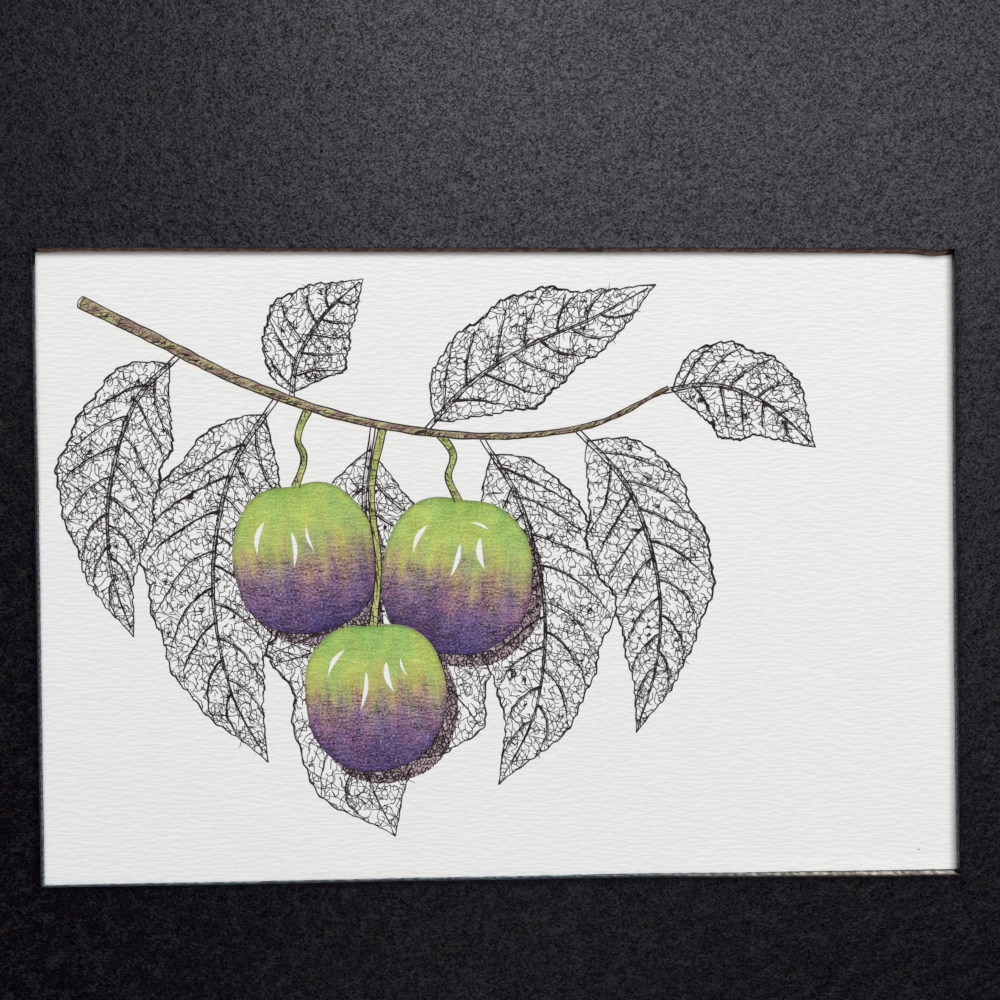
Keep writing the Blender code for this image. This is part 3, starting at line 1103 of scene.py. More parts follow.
# How the washes are mixed. The stops run from a fruit's foot to its top
wash = {
    "stops": [
        (0.00, (0.085, 0.052, 0.170)), (0.10, (0.112, 0.068, 0.182)), (0.225, (0.165, 0.095, 0.210)),
        (0.335, (0.235, 0.140, 0.220)), (0.445, (0.330, 0.235, 0.205)), (0.50, (0.380, 0.315, 0.185)),
        (0.56, (0.425, 0.430, 0.160)), (0.665, (0.455, 0.565, 0.160)), (0.775, (0.425, 0.585, 0.140)),
        (0.89, (0.390, 0.565, 0.140)), (1.00, (0.275, 0.485, 0.100)),
    ],
    "streak": 0.85,      # how far the streaks draw one colour into the next
    "drift": 0.45,
    "warm": (1.13, 0.99, 0.92),
    "cold": (0.84, 0.94, 1.03),
    "bare": (0.70, 0.58, 0.60),      # where the pigment missed the hollows
    "bareShare": 0.32,
    "rim": (0.45, 0.36, 0.42),      # the dark line that a drying wash leaves
    "rimShare": 0.55,
    "shade": (0.32, 0.26, 0.36),      # beside the fruit in front
    "shadeShare": 0.75,
    "stalk": ((0.36, 0.42, 0.12), (0.50, 0.50, 0.20), (1.2 * mm, 2.2 * mm, 1.0 * mm)),
    "branch": ((0.30, 0.20, 0.16), (0.46, 0.42, 0.22), (3.0 * mm, 1.5 * mm, 1.0 * mm)),
    "shadow": ((0.36, 0.26, 0.32), (0.48, 0.38, 0.40), (2.0 * mm, 2.0 * mm, 1.0 * mm)),
}


def addRibbons(tree, source, result, curve, width):      # curves as flat ink that follows the felt
    profile = addNode(tree, "GeometryNodeCurvePrimitiveCircle", mode="RADIUS")
    profile.inputs["Resolution"].default_value = 3
    profile.inputs["Radius"].default_value = 1.0
    level = addNode(tree, "GeometryNodeSetCurveNormal", mode="Z_UP")
    feed(tree, level.inputs["Curve"], curve)
    ribbon = addNode(tree, "GeometryNodeCurveToMesh")
    feed(tree, ribbon.inputs["Curve"], level.outputs[0])
    feed(tree, ribbon.inputs["Profile Curve"], profile.outputs[0])
    feed(tree, ribbon.inputs["Scale"], width)
    ribbon.inputs["Fill Caps"].default_value = True
    _, _, height = splitVector(tree, addNode(tree, "GeometryNodeInputPosition").outputs[0])
    drop = maths(tree, "MULTIPLY", maths(tree, "SUBTRACT", source["Level"], height), ink["flatten"])
    raised = vectorMaths(tree, "ADD", joinVector(tree, 0.0, 0.0, drop), readLift(tree))
    moved = addNode(tree, "GeometryNodeSetPosition")
    feed(tree, moved.inputs["Geometry"], ribbon.outputs[0])
    feed(tree, moved.inputs["Offset"], raised)
    coatGeometry(tree, result, moved.outputs[0], source["Finish"])


def namedValue(tree, title):
    node = addNode(tree, "GeometryNodeInputNamedAttribute", data_type="FLOAT")
    node.inputs["Name"].default_value = title
    return node.outputs[0]


def makePenTree():      # polylines with a half width at each point become pen strokes
    tree, source, result = startTree("penStroke", "GeometryNodeTree", [
        ("Geometry", "NodeSocketGeometry", None),
        ("Level", "NodeSocketFloat", 0.0),
        ("Finish", "NodeSocketMaterial", None),
    ], [("Geometry", "NodeSocketGeometry")])
    lines = addNode(tree, "GeometryNodeMeshToCurve")
    feed(tree, lines.inputs["Mesh"], source["Geometry"])
    addRibbons(tree, source, result, lines.outputs[0], namedValue(tree, "halfWidth"))
    return tree


def looseGrid(tree, source, place):      # shifted rows over the blade, each point strayed
    cell = source["Cell"]
    bounds = addNode(tree, "GeometryNodeBoundBox")
    feed(tree, bounds.inputs[0], source["Geometry"])
    low, high = bounds.outputs["Min"], bounds.outputs["Max"]
    wide, tall, _ = splitVector(tree, vectorMaths(tree, "SUBTRACT", high, low))
    middle = vectorMaths(tree, "MULTIPLY", vectorMaths(tree, "ADD", high, low), (0.5, 0.5, 0.5))
    longer = maths(tree, "MULTIPLY", cell, source["Stretch"])
    span = maths(tree, "SQRT", maths(tree, "MULTIPLY_ADD", wide, wide, maths(tree, "MULTIPLY", tall, tall)))
    grid = addNode(tree, "GeometryNodeMeshGrid")
    for title, pitch in (("X", longer), ("Y", cell)):
        count = maths(tree, "ADD", maths(tree, "CEIL", maths(tree, "DIVIDE", span, pitch)), 4.0)
        feed(tree, grid.inputs["Size " + title], maths(tree, "MULTIPLY", count, pitch))
        feed(tree, grid.inputs["Vertices " + title], maths(tree, "ADD", count, 1.0))
    _, up, _ = splitVector(tree, place)
    row = maths(tree, "FLOOR", maths(tree, "ADD", maths(tree, "DIVIDE", up, cell), 1000.25))
    shift = maths(tree, "MULTIPLY", maths(tree, "MODULO", row, 2.0), maths(tree, "MULTIPLY", longer, 0.5))
    jitter = addNode(tree, "FunctionNodeRandomValue", data_type="FLOAT_VECTOR")
    jitter.inputs["Min"].default_value = (-ink["netStray"], -ink["netStray"], 0.0)
    jitter.inputs["Max"].default_value = (ink["netStray"], ink["netStray"], 0.0)
    feed(tree, jitter.inputs["Seed"], source["Seed"])
    strayed = vectorMaths(tree, "MULTIPLY", jitter.outputs[0], joinVector(tree, longer, cell, 0.0))
    strayed = vectorMaths(tree, "ADD", strayed, joinVector(tree, shift, 0.0, 0.0))
    turned = addNode(tree, "ShaderNodeVectorRotate", rotation_type="Z_AXIS")
    feed(tree, turned.inputs["Vector"], vectorMaths(tree, "ADD", place, strayed))
    feed(tree, turned.inputs["Angle"], source["Turn"])
    loose = addNode(tree, "GeometryNodeSetPosition")
    feed(tree, loose.inputs["Geometry"], grid.outputs["Mesh"])
    feed(tree, loose.inputs["Position"], vectorMaths(tree, "ADD", turned.outputs[0], middle))
    return loose.outputs[0]


def cellBorders(tree, source, place):      # the borders of loose cells, kept to the blade, some left out
    grid = looseGrid(tree, source, place)
    split = addNode(tree, "GeometryNodeTriangulate", quad_method="SHORTEST_DIAGONAL")
    feed(tree, split.inputs[0], grid)
    cells = addNode(tree, "GeometryNodeDualMesh")
    feed(tree, cells.inputs["Mesh"], split.outputs[0])
    chosen = addNode(tree, "GeometryNodeSwitch", input_type="GEOMETRY")
    feed(tree, chosen.inputs["Switch"], source["Closed"])
    feed(tree, chosen.inputs["False"], grid)
    feed(tree, chosen.inputs["True"], cells.outputs[0])
    near = addNode(tree, "GeometryNodeProximity", target_element="FACES")
    feed(tree, near.inputs[0], source["Geometry"])
    noted = addNode(tree, "GeometryNodeStoreNamedAttribute", data_type="FLOAT", domain="POINT")
    noted.inputs["Name"].default_value = "outside"
    feed(tree, noted.inputs["Geometry"], chosen.outputs[0])
    feed(tree, noted.inputs["Value"], maths(tree, "GREATER_THAN", near.outputs["Distance"], 0.001 * mm))
    clamped = addNode(tree, "GeometryNodeSetPosition")
    feed(tree, clamped.inputs["Geometry"], noted.outputs[0])
    feed(tree, clamped.inputs["Position"], near.outputs["Position"])
    chance = addNode(tree, "FunctionNodeRandomValue", data_type="FLOAT")
    feed(tree, chance.inputs["Seed"], maths(tree, "ADD", source["Seed"], 7.0))
    coarse = noiseField(tree, place, 1.0, scale=260.0)
    limit = maths(tree, "MULTIPLY", source["Loss"], maths(tree, "MULTIPLY", coarse, 2.0))
    isInside = maths(tree, "LESS_THAN", namedValue(tree, "outside"), 0.75)
    lucky = maths(tree, "GREATER_THAN", chance.outputs["Value"], limit)
    lines = addNode(tree, "GeometryNodeMeshToCurve")
    feed(tree, lines.inputs["Mesh"], clamped.outputs[0])
    feed(tree, lines.inputs["Selection"], maths(tree, "MULTIPLY", isInside, lucky))
    return lines.outputs[0]


def makeNetTree():      # a leaf's net of small veins, as wavering ink lines
    tree, source, result = startTree("leafNet", "GeometryNodeTree", [
        ("Geometry", "NodeSocketGeometry", None),
        ("Cell", "NodeSocketFloat", 0.001),
        ("Stretch", "NodeSocketFloat", 1.0),
        ("Turn", "NodeSocketFloat", 0.0),
        ("Closed", "NodeSocketBool", True),
        ("Half Width", "NodeSocketFloat", 0.0001),
        ("Loss", "NodeSocketFloat", 0.2),
        ("Seed", "NodeSocketInt", 0),
        ("Level", "NodeSocketFloat", 0.0),
        ("Finish", "NodeSocketMaterial", None),
    ], [("Geometry", "NodeSocketGeometry")])
    cell = source["Cell"]
    place = addNode(tree, "GeometryNodeInputPosition").outputs[0]
    finer = addNode(tree, "GeometryNodeResampleCurve", mode="LENGTH")
    feed(tree, finer.inputs["Curve"], cellBorders(tree, source, place))
    feed(tree, finer.inputs["Length"], maths(tree, "MULTIPLY", cell, ink["netStep"]))
    bend = addNode(tree, "ShaderNodeTexNoise")
    feed(tree, bend.inputs["Vector"], place)
    bend.inputs["Scale"].default_value = 900.0
    bend.inputs["Detail"].default_value = 1.0
    sway = vectorMaths(tree, "SUBTRACT", bend.outputs["Color"], (0.5, 0.5, 0.5))
    reach = maths(tree, "MULTIPLY", cell, ink["netSway"])
    sway = vectorMaths(tree, "MULTIPLY", sway, joinVector(tree, reach, reach, 0.0))
    bent = addNode(tree, "GeometryNodeSetPosition")
    feed(tree, bent.inputs["Geometry"], finer.outputs[0])
    feed(tree, bent.inputs["Offset"], sway)
    press = noiseField(tree, place, 0.0, scale=620.0)
    width = maths(tree, "MULTIPLY", source["Half Width"], maths(tree, "MULTIPLY_ADD", press, 1.1, 0.45))
    addRibbons(tree, source, result, bent.outputs[0], width)
    return tree


def evenPath(places, count, smooth=True):      # evenly spaced points on a path through some places
    knots = numpy.array(places, float)
    if smooth:
        padded = numpy.vstack([2 * knots[0] - knots[1], knots, 2 * knots[-1] - knots[-2]])
        share = numpy.linspace(0, 1, 25)[:-1, None]
        fine = []
        for a, b, c, d in zip(padded, padded[1:], padded[2:], padded[3:]):
            fine.append(0.5 * (2 * b + (c - a) * share + (2 * a - 5 * b + 4 * c - d) * share ** 2
                               + (3 * b - a - 3 * c + d) * share ** 3))
        knots = numpy.vstack([*fine, knots[-1]])
    lengths = numpy.concatenate([[0], numpy.cumsum(numpy.hypot(*numpy.diff(knots, axis=0).T))])
    wanted = numpy.linspace(0, lengths[-1], count + 1)
    return numpy.column_stack([numpy.interp(wanted, lengths, knots[:, axis]) for axis in (0, 1)])


def pathLength(path):
    return numpy.hypot(*numpy.diff(path, axis=0).T).sum()


def sideways(path):      # the unit normal at each point, to the path's left
    along = numpy.gradient(path, axis=0)
    along /= numpy.hypot(*along.T)[:, None]
    return numpy.column_stack([-along[:, 1], along[:, 0]])


pen = {"points": [], "edges": [], "widths": []}


def stroke(path, width, start=1.0, end=1.0, seed=0):      # a pen stroke, with how wide it is at its ends
    return {"path": numpy.asarray(path), "width": width * mm, "start": start, "end": end, "seed": seed}


def inkStrokes(strokes, covers):      # clips strokes where something lies in front, and keeps the rest
    sampled = []
    for line in strokes:
        count = max(int(pathLength(line["path"]) / ink["sample"]), 4)
        path = evenPath(line["path"], count, smooth=False)
        for point in path:
            spot = Vector((*point, line["seed"] * 0.013)) / ink["trembleLength"]
            point += numpy.array(noise.noise_vector(spot)[:2]) * ink["tremble"]
        sampled.append(path)
    if not sampled:
        return
    together = numpy.concatenate(sampled)
    hidden = numpy.zeros(len(together), bool)
    for cover in covers:
        hidden |= insidePolygon(together, cover)
    first = 0
    for line, path in zip(strokes, sampled):
        shown = ~hidden[first:first + len(path)]
        first += len(path)
        share = numpy.linspace(0, 1, len(path))
        press = line["start"] + (1 - line["start"]) * numpy.minimum(1, share / 0.25)
        press *= line["end"] + (1 - line["end"]) * numpy.minimum(1, (1 - share) / 0.35)
        begin = None
        for index in range(len(path) + 1):
            if index < len(path) and shown[index]:
                begin = index if begin is None else begin
                continue
            if begin is not None and index - begin > 2:
                picked = [*range(begin, index - 1, 3), index - 1]
                base = len(pen["points"])
                for spot in picked:
                    vary = 1.0 + 0.45 * noise.noise(Vector((*path[spot], 4.0)) / (2.3 * mm))
                    pen["points"].append((*path[spot], inkLevel))
                    pen["widths"].append(line["width"] * press[spot] * vary)
                pen["edges"] += [(base + i, base + i + 1) for i in range(len(picked) - 1)]
            begin = None


def nearby(outline, covers):      # only the covers that can touch an outline
    low, high = numpy.min(outline, axis=0), numpy.max(outline, axis=0)
    return [cover for cover in covers if (numpy.min(cover, axis=0) < high).all()
            and (numpy.max(cover, axis=0) > low).all()]


def flatRegion(outline, covers, holes=(), spread=()):      # what shows of an outline
    return fillOutline(outline, [*nearby(outline, covers), *holes], spread)


def leafForm(leaf):      # a leaf's midrib, its normals, and its half width to either side
    rib = evenPath(leaf["rib"], 160)
    share = numpy.clip((numpy.linspace(0, 1, 161) - 0.06) / 0.94, 0, 1)
    body = numpy.clip(numpy.sin(numpy.pi * share ** leaf["swell"]), 0, 1) ** 1.1
    halves = []
    for side in (1, -1):
        wave = 1 + 0.075 * numpy.sin(2 * math.pi * (leaf["waves"] * share + 0.3 * side) + leaf["seed"])
        wave += 0.04 * numpy.sin(2 * math.pi * (2.7 * leaf["waves"] * share) + side * leaf["seed"])
        tooth = 0.5 * ((share * leaf["teeth"]) % 1) * numpy.minimum(1, 3 * body)
        halves.append((leaf["width"] * body * wave + tooth)[:, None])
    normal = sideways(rib)
    left, right = rib + normal * halves[0], rib - normal * halves[1]
    return rib * mm, normal, (left * mm, right * mm), [half[:, 0] * mm for half in halves]


def leafVeins(leaf, rib, normal, halves, dice):      # curved veins off the midrib, doubled and hatched
    made = []
    share = numpy.linspace(0, 1, 161)
    run = numpy.linspace(0, 1, 26)
    for number in range(leaf["veins"]):
        for side in (0, 1):
            start = 0.11 + 0.74 * (number + 0.45 * side + dice.uniform(-0.12, 0.12)) / leaf["veins"]
            spots = start + (0.17 - 0.05 * number / leaf["veins"]) * run ** 1.25
            reach = numpy.interp(spots, share, halves[side]) * 0.965 * run ** 0.9 * (1 - 2 * side)
            root, out = [numpy.column_stack([numpy.interp(spots, share, axis) for axis in line.T])
                         for line in (rib, normal)]
            path = root + out * reach[:, None]
            seed = leaf["seed"] + number
            made.append(stroke(path, nib["vein"], 1.2, 0.5, seed))
            beside = path[:20] + sideways(path)[:20] * dice.uniform(0.16, 0.30) * mm
            made.append(stroke(beside, nib["besideVein"], 1.0, 0.3, seed + 40))
            if pathLength(path) > 4 * mm:
                made += veinHatch(path, dice, 0.55)
    return made


def veinHatch(path, dice, share):      # short strokes off one side of a vein, leaning with it
    made = []
    side = dice.choice((-1, 1))
    normal = sideways(path) * side
    step = 0
    while step < len(path) - 3:
        step += dice.choice((1, 1, 2, 3))
        if step >= len(path) - 1 or dice.random() > share:
            continue
        ahead = path[min(step + 2, len(path) - 1)] - path[step]
        lean = numpy.array(ahead) / max(numpy.hypot(*ahead), 1e-9)
        reach = dice.uniform(0.5, 1.5) * mm
        start = path[step]
        end = start + (normal[step] * dice.uniform(0.6, 1.0) + lean * dice.uniform(0.2, 0.9)) * reach
        bend = (start + end) / 2 + lean * 0.08 * mm
        made.append(stroke([start, bend, end], nib["hatch"], 1.0, 0.4, step))
    return made


def inkKnot(middle, dice, radius):      # a small dark clump where veins meet
    turn = dice.uniform(0, math.pi)
    made = []
    for _ in range(dice.randint(5, 9)):
        angle = turn + dice.gauss(0, 0.45)
        along = numpy.array((math.cos(angle), math.sin(angle))) * radius * dice.uniform(0.4, 1.0)
        spot = middle + numpy.array((dice.gauss(0, 0.3), dice.gauss(0, 0.3))) * radius
        made.append(stroke([spot - along, spot, spot + along], nib["knot"], 0.5, 0.4, dice.randint(0, 60)))
    return made


def leafStrokes(leaf, rib, normal, sides, halves):      # margins, doubled midrib, veins and knots
    dice = random.Random(leaf["seed"])
    strokes = []
    for margin in sides:
        strokes.append(stroke(margin[8:], nib["margin"], 0.8, 0.7, leaf["seed"]))
        first = dice.randint(20, 60)
        last = first + dice.randint(35, 70)
        inside = (margin + (rib - margin) * 0.018)[first:last]
        strokes.append(stroke(inside, nib["secondMargin"], 0.3, 0.3, leaf["seed"] + 5))
    share = numpy.linspace(0, 1, 161)[:, None]
    for side in (-1, 1):
        gap = (0.33 * (1 - share) + 0.04) * mm * side
        strokes.append(stroke((rib + normal * gap)[:156], nib["midrib"], 1.0, 0.5, leaf["seed"] + side))
    strokes.append(stroke(rib[6:110], nib["ribMiddle"], 0.6, 0.3, leaf["seed"] + 9))
    strokes += leafVeins(leaf, rib, normal, halves, dice)
    for _ in range(leaf["veins"] * 2):
        spot = dice.randint(25, 130)
        off = normal[spot] * halves[0][spot] * dice.uniform(-0.85, 0.85)
        strokes += inkKnot(rib[spot] + off, dice, dice.uniform(0.35, 0.7) * mm)
    return strokes


def netOver(name, region, **values):      # a net of ink over a region of the card
    flat, triangles = region
    blade = rawMesh("blade", [(x, y, inkLevel) for x, y in flat], triangles.tolist())
    return runTree(name, blade, netTree, Level=inkLevel, Finish=inkMaterial, **values)


def drawLeaf(leaf, covers):
    rib, normal, sides, halves = leafForm(leaf)
    inkStrokes(leafStrokes(leaf, rib, normal, sides, halves), covers)
    outline = numpy.vstack([sides[0], sides[1][::-1][1:-1]])
    region = flatRegion(outline, covers)
    run = rib[120] - rib[30]
    along = math.atan2(run[1], run[0])
    nets = [netOver("net", region, Cell=ink["netCell"] * layer["cell"], Stretch=layer["stretch"],
                    Turn=along + layer["turn"], Closed=layer["closed"], Loss=layer["loss"],
                    Seed=leaf["seed"] + number, HalfWidth=ink["netHalfWidth"] * layer["width"])
            for number, layer in enumerate(netLayers)]
    name = "net" + leaf["name"]
    ridePiece(makeObject(name, joinMeshes(name, nets), inkMaterial))
    return outline


def joinMeshes(name, meshes):
    body = bmesh.new()
    for mesh in meshes:
        body.from_mesh(mesh)
    joined = bpy.data.meshes.new(name)
    body.to_mesh(joined)
    body.free()
    return joined


def fruitReach(fruit, angle):      # how far the fruit's outline lies from its middle, in metres
    across, up = numpy.cos(angle), numpy.sin(angle)
    wide, tall = fruit["size"]
    power = 2.25      # a little squarer than an ellipse
    reach = (numpy.abs(across / wide) ** power + numpy.abs(up / tall) ** power) ** (-1 / power)
    fromTop = numpy.arctan2(-across, up)
    reach *= 1 - 0.075 * numpy.exp(-(fromTop / 0.33) ** 2)
    seed = fruit["seed"]
    return reach * (1 + 0.012 * numpy.sin(3 * angle + seed) + 0.006 * numpy.sin(7 * angle + 2 * seed)) * mm


def fruitPolar(fruit, points):      # points in the fruit's own terms: its outline lies at radius 1
    away = numpy.asarray(points, float)[:, :2] - numpy.array(fruit["middle"]) * mm
    angle = numpy.arctan2(away[:, 1], away[:, 0]) - math.radians(fruit["lean"])
    radius = numpy.hypot(away[:, 0], away[:, 1]) / fruitReach(fruit, angle)
    return numpy.column_stack([radius * numpy.cos(angle), radius * numpy.sin(angle)])


def fruitSpots(fruit, polar):      # and back again
    polar = numpy.asarray(polar, float)
    angle = numpy.arctan2(polar[:, 1], polar[:, 0])
    radius = numpy.hypot(polar[:, 0], polar[:, 1]) * fruitReach(fruit, angle)
    angle += math.radians(fruit["lean"])
    away = numpy.column_stack([numpy.cos(angle) * radius, numpy.sin(angle) * radius])
    return away + numpy.array(fruit["middle"]) * mm


def fruitOutline(fruit):
    turn = numpy.linspace(0, 2 * math.pi, 180, endpoint=False)
    return fruitSpots(fruit, numpy.column_stack([numpy.cos(turn), numpy.sin(turn)]))


def lensOutline(fruit, glint):      # a glint left as bare card, between two arcs
    ax, ay, bx, by, fat, bow = glint
    start, end = fruitSpots(fruit, [(ax, ay), (bx, by)])
    run = end - start
    normal = numpy.array((-run[1], run[0])) / numpy.hypot(*run)
    share = numpy.linspace(0, 1, 13)[:, None]
    middle = start + run * share + normal * bow * mm * numpy.sin(numpy.pi * share)
    swell = numpy.sin(numpy.pi * share ** 1.25) ** 0.8 * fat * mm / 2
    rough = numpy.array([[noise.noise(Vector((*point, 9.0)) / (0.8 * mm))] for point in middle])
    rough = rough * 0.06 * mm
    return numpy.vstack([middle + normal * (swell + rough), (middle - normal * swell)[::-1][1:-1]])


def cardLattice(outline):      # the card's own grid points inside an outline
    size = cardHigh - cardLow
    stepX, stepY = size.x / card["columns"], size.y / card["rows"]
    low, high = numpy.min(outline, axis=0), numpy.max(outline, axis=0)
    columns = range(int((low[0] - cardLow.x) / stepX), int((high[0] - cardLow.x) / stepX) + 2)
    rows = range(int((low[1] - cardLow.y) / stepY), int((high[1] - cardLow.y) / stepY) + 2)
    spots = [(cardLow.x + column * stepX, cardLow.y + row * stepY) for column in columns for row in rows]
    kept = insidePolygon(spots, outline)
    return [spot for spot, inside in zip(spots, kept) if inside]


def washSheet(name, outline, covers, bare, material):      # a closed film of colour on the card
    flat, triangles = flatRegion(outline, covers, bare, cardLattice(outline))
    top, bottom = cardHigh.z + ink["washTop"], cardHigh.z + ink["washBottom"]
    used = numpy.unique(triangles)
    renumber = {int(old): new for new, old in enumerate(used)}
    count = len(used)
    points = [(*flat[i], top) for i in used] + [(*flat[i], bottom) for i in used]
    above = [tuple(renumber[int(i)] for i in triangle) for triangle in triangles]
    faces = above + [tuple(count + i for i in triangle[::-1]) for triangle in above]
    directed = {(triangle[i], triangle[(i + 1) % 3]) for triangle in above for i in range(3)}
    faces += [(b, a, a + count, b + count) for a, b in directed if (b, a) not in directed]
    mesh = rawMesh(name, points, faces)
    faceOutwards(mesh)
    made = runTree(name, mesh, reliefTree, Lowest=(top + bottom) / 2, Finish=material)
    shadeRound(made, 40)
    ridePiece(makeObject(name, made))
    return made


def addFruitMap(mesh, fruit, ahead):      # UVs in the fruit's own terms, shade near what is in front
    spots = meshSpots(mesh)
    polar = fruitPolar(fruit, spots)
    corners = numpy.empty(len(mesh.loops), numpy.int32)
    mesh.loops.foreach_get("vertex_index", corners)
    layer = mesh.uv_layers.new(name="fruitMap")
    layer.data.foreach_set("uv", (polar[corners] * 0.5 + 0.5).ravel())
    shade = numpy.zeros(len(spots))
    for other in ahead:
        radius = numpy.hypot(*fruitPolar(other, spots).T)
        shade = numpy.maximum(shade, numpy.exp(-numpy.maximum(radius - 1, 0) * 5.5))
    notePoints(mesh, "shade", shade)


def makePigmentGroup():      # how a wash settles: with the felt, in specks and in soft blooms
    tree, source, result = startTree("settledPigment", "ShaderNodeTree", [
        ("Place", "NodeSocketVector", None),
        ("Colour", "NodeSocketColor", None),
        ("Grain", "NodeSocketFloat", 1.0),
    ], [("Colour", "NodeSocketColor")])
    place = source["Place"]
    marks = ranged(tree, placeGroup(tree, feltGroup, Place=place)["Height"], 0.36, 0.64)
    threads = grained(tree, place, (1.6 * mm, 0.17 * mm, 1.0 * mm), detail=2.0)
    specks = grained(tree, place, (0.34 * mm, 0.24 * mm, 1.0 * mm), detail=1.0)
    bloom = grained(tree, place, (3.2 * mm, 2.4 * mm, 1.0 * mm), detail=3.0)
    total = maths(tree, "MULTIPLY_ADD", marks, 0.16, maths(tree, "MULTIPLY", threads, 0.55))
    total = maths(tree, "MULTIPLY_ADD", specks, 1.15, total)
    total = maths(tree, "MULTIPLY_ADD", bloom, 0.60, total)
    swing = maths(tree, "MULTIPLY", maths(tree, "SUBTRACT", total, 1.23), source["Grain"])
    factor = maths(tree, "ADD", 1.0, maths(tree, "MULTIPLY", swing, 2.2))
    tinted = mixed(tree, 1.0, source["Colour"], evenVector(tree, factor), "MULTIPLY")
    bare = maths(tree, "MULTIPLY", source["Grain"], wash["bareShare"])
    bare = maths(tree, "MULTIPLY", ranged(tree, specks, 0.56, 0.78), bare)
    feed(tree, result["Colour"], mixed(tree, bare, tinted, wash["bare"]))
    return tree


def darkened(tree, share, colour, shade):      # a colour on its way to a deeper one
    return mixed(tree, share, colour, mixed(tree, 1.0, colour, shade, "MULTIPLY"))


def pitchedNoise(tree, values, pitches, detail):      # a noise over three numbers, each at its own pitch
    spot = [maths(tree, "MULTIPLY", value, pitch) for value, pitch in zip(values, pitches)]
    return noiseField(tree, joinVector(tree, *spot), detail, 0.6)


def washRamp(tree, level):
    ramp = addNode(tree, "ShaderNodeValToRGB")
    feed(tree, ramp.inputs[0], maths(tree, "MULTIPLY_ADD", level, 0.5, 0.5))
    while len(ramp.color_ramp.elements) < len(wash["stops"]):
        ramp.color_ramp.elements.new(0.5)
    for element, (spot, colour) in zip(ramp.color_ramp.elements, wash["stops"]):
        element.position = spot
        element.color = (*colour, 1.0)
    return ramp.outputs["Color"]


def fruitFinish():      # violet below, green above, drawn into each other in upright streaks
    material, tree, shader, place = newSurface("fruitWash", 0.8, 0.25)
    square = addNode(tree, "ShaderNodeUVMap", uv_map="fruitMap").outputs[0]
    square = vectorMaths(tree, "MULTIPLY", square, (2.0, 2.0, 0.0))
    across, up, _ = splitVector(tree, vectorMaths(tree, "SUBTRACT", square, (1.0, 1.0, 0.0)))
    rim = maths(tree, "MULTIPLY_ADD", across, across, maths(tree, "MULTIPLY", up, up))
    rim = maths(tree, "SQRT", rim)
    _, realUp, _ = splitVector(tree, place)
    streaks = pitchedNoise(tree, (across, up, realUp), (6.5, 0.9, 12.0), 2.0)
    hues = pitchedNoise(tree, (across, up, realUp), (3.2, 1.3, 40.0), 3.0)
    drift = noiseField(tree, place, 3.0, 0.6, 330.0)
    level = swung(tree, drift, wash["drift"], swung(tree, streaks, wash["streak"], up))
    colour = washRamp(tree, level)
    warmer = mixed(tree, 1.0, colour, wash["warm"], "MULTIPLY")
    colder = mixed(tree, 1.0, colour, wash["cold"], "MULTIPLY")
    colour = mixed(tree, ranged(tree, hues, 0.36, 0.64), colder, warmer)
    grain = maths(tree, "MULTIPLY_ADD", ranged(tree, level, 0.25, -0.25), 0.85, 0.42)
    colour = placeGroup(tree, pigmentGroup, Place=place, Colour=colour, Grain=grain)["Colour"]
    rimShare = maths(tree, "MULTIPLY", ranged(tree, rim, 0.93, 1.0), wash["rimShare"])
    colour = darkened(tree, rimShare, colour, wash["rim"])
    shadeShare = maths(tree, "MULTIPLY", readAttribute(tree, "shade"), wash["shadeShare"])
    feed(tree, shader.inputs["Base Color"], darkened(tree, shadeShare, colour, wash["shade"]))
    return material


def plainWash(name, low, high, size):      # a thin wash that drifts between two colours
    material, tree, shader, place = newSurface(name, 0.8, 0.25)
    drift = ranged(tree, grained(tree, place, size, detail=2.0), 0.38, 0.62)
    settled = placeGroup(tree, pigmentGroup, Place=place, Colour=mixed(tree, drift, low, high), Grain=0.7)
    feed(tree, shader.inputs["Base Color"], settled["Colour"])
    return material


def inkFinish():
    material, tree, shader, place = newSurface("penInk", 0.6, 0.3)
    flow = ranged(tree, noiseField(tree, place, 2.0, 0.6, 900.0), 0.35, 0.7)
    feed(tree, shader.inputs["Base Color"], mixed(tree, flow, *ink["colours"]))
    return material


def pathOutline(path, halves):      # a closed outline round a path
    normal = sideways(path)
    halves = numpy.asarray(halves)[:, None] * mm
    return numpy.vstack([path + normal * halves, (path - normal * halves)[::-1]])


def drawStem(name, path, halves, covers, material, hatch, seed):      # wash, outlines and bark
    outline = pathOutline(path, halves)
    washSheet("wash" + name, outline, covers, [], material)
    dice = random.Random(seed)
    count = len(path)
    strokes = [stroke(outline[:count], nib["stemLeft"], 0.9, 0.8, seed),
               stroke(outline[count:], nib["stemRight"], 0.9, 0.8, seed + 1)]
    bulge = (outline[0] + outline[-1]) / 2 - (path[3] - path[0]) * 0.2
    cut = numpy.array([outline[-1], bulge, outline[0]])
    for shift in (0, 1.1):
        end = evenPath(cut + (path[1] - path[0]) * shift, 8)
        strokes.append(stroke(end, nib["stemEnd"], 0.9, 0.9, seed))
    normal = sideways(path)
    for _ in range(hatch):
        spot = dice.randint(1, count - 4)
        half = halves[spot] * mm
        start = path[spot] - normal[spot] * half * dice.uniform(0.1, 1.0)
        end = path[spot + dice.randint(0, 3)] - normal[spot] * half * dice.uniform(-0.8, 0.3)
        line = [start, (start + end) / 2, end]
        strokes.append(stroke(line, nib["bark"], 0.9, 0.4, dice.randint(0, 90)))
    inkStrokes(strokes, covers)
    return outline


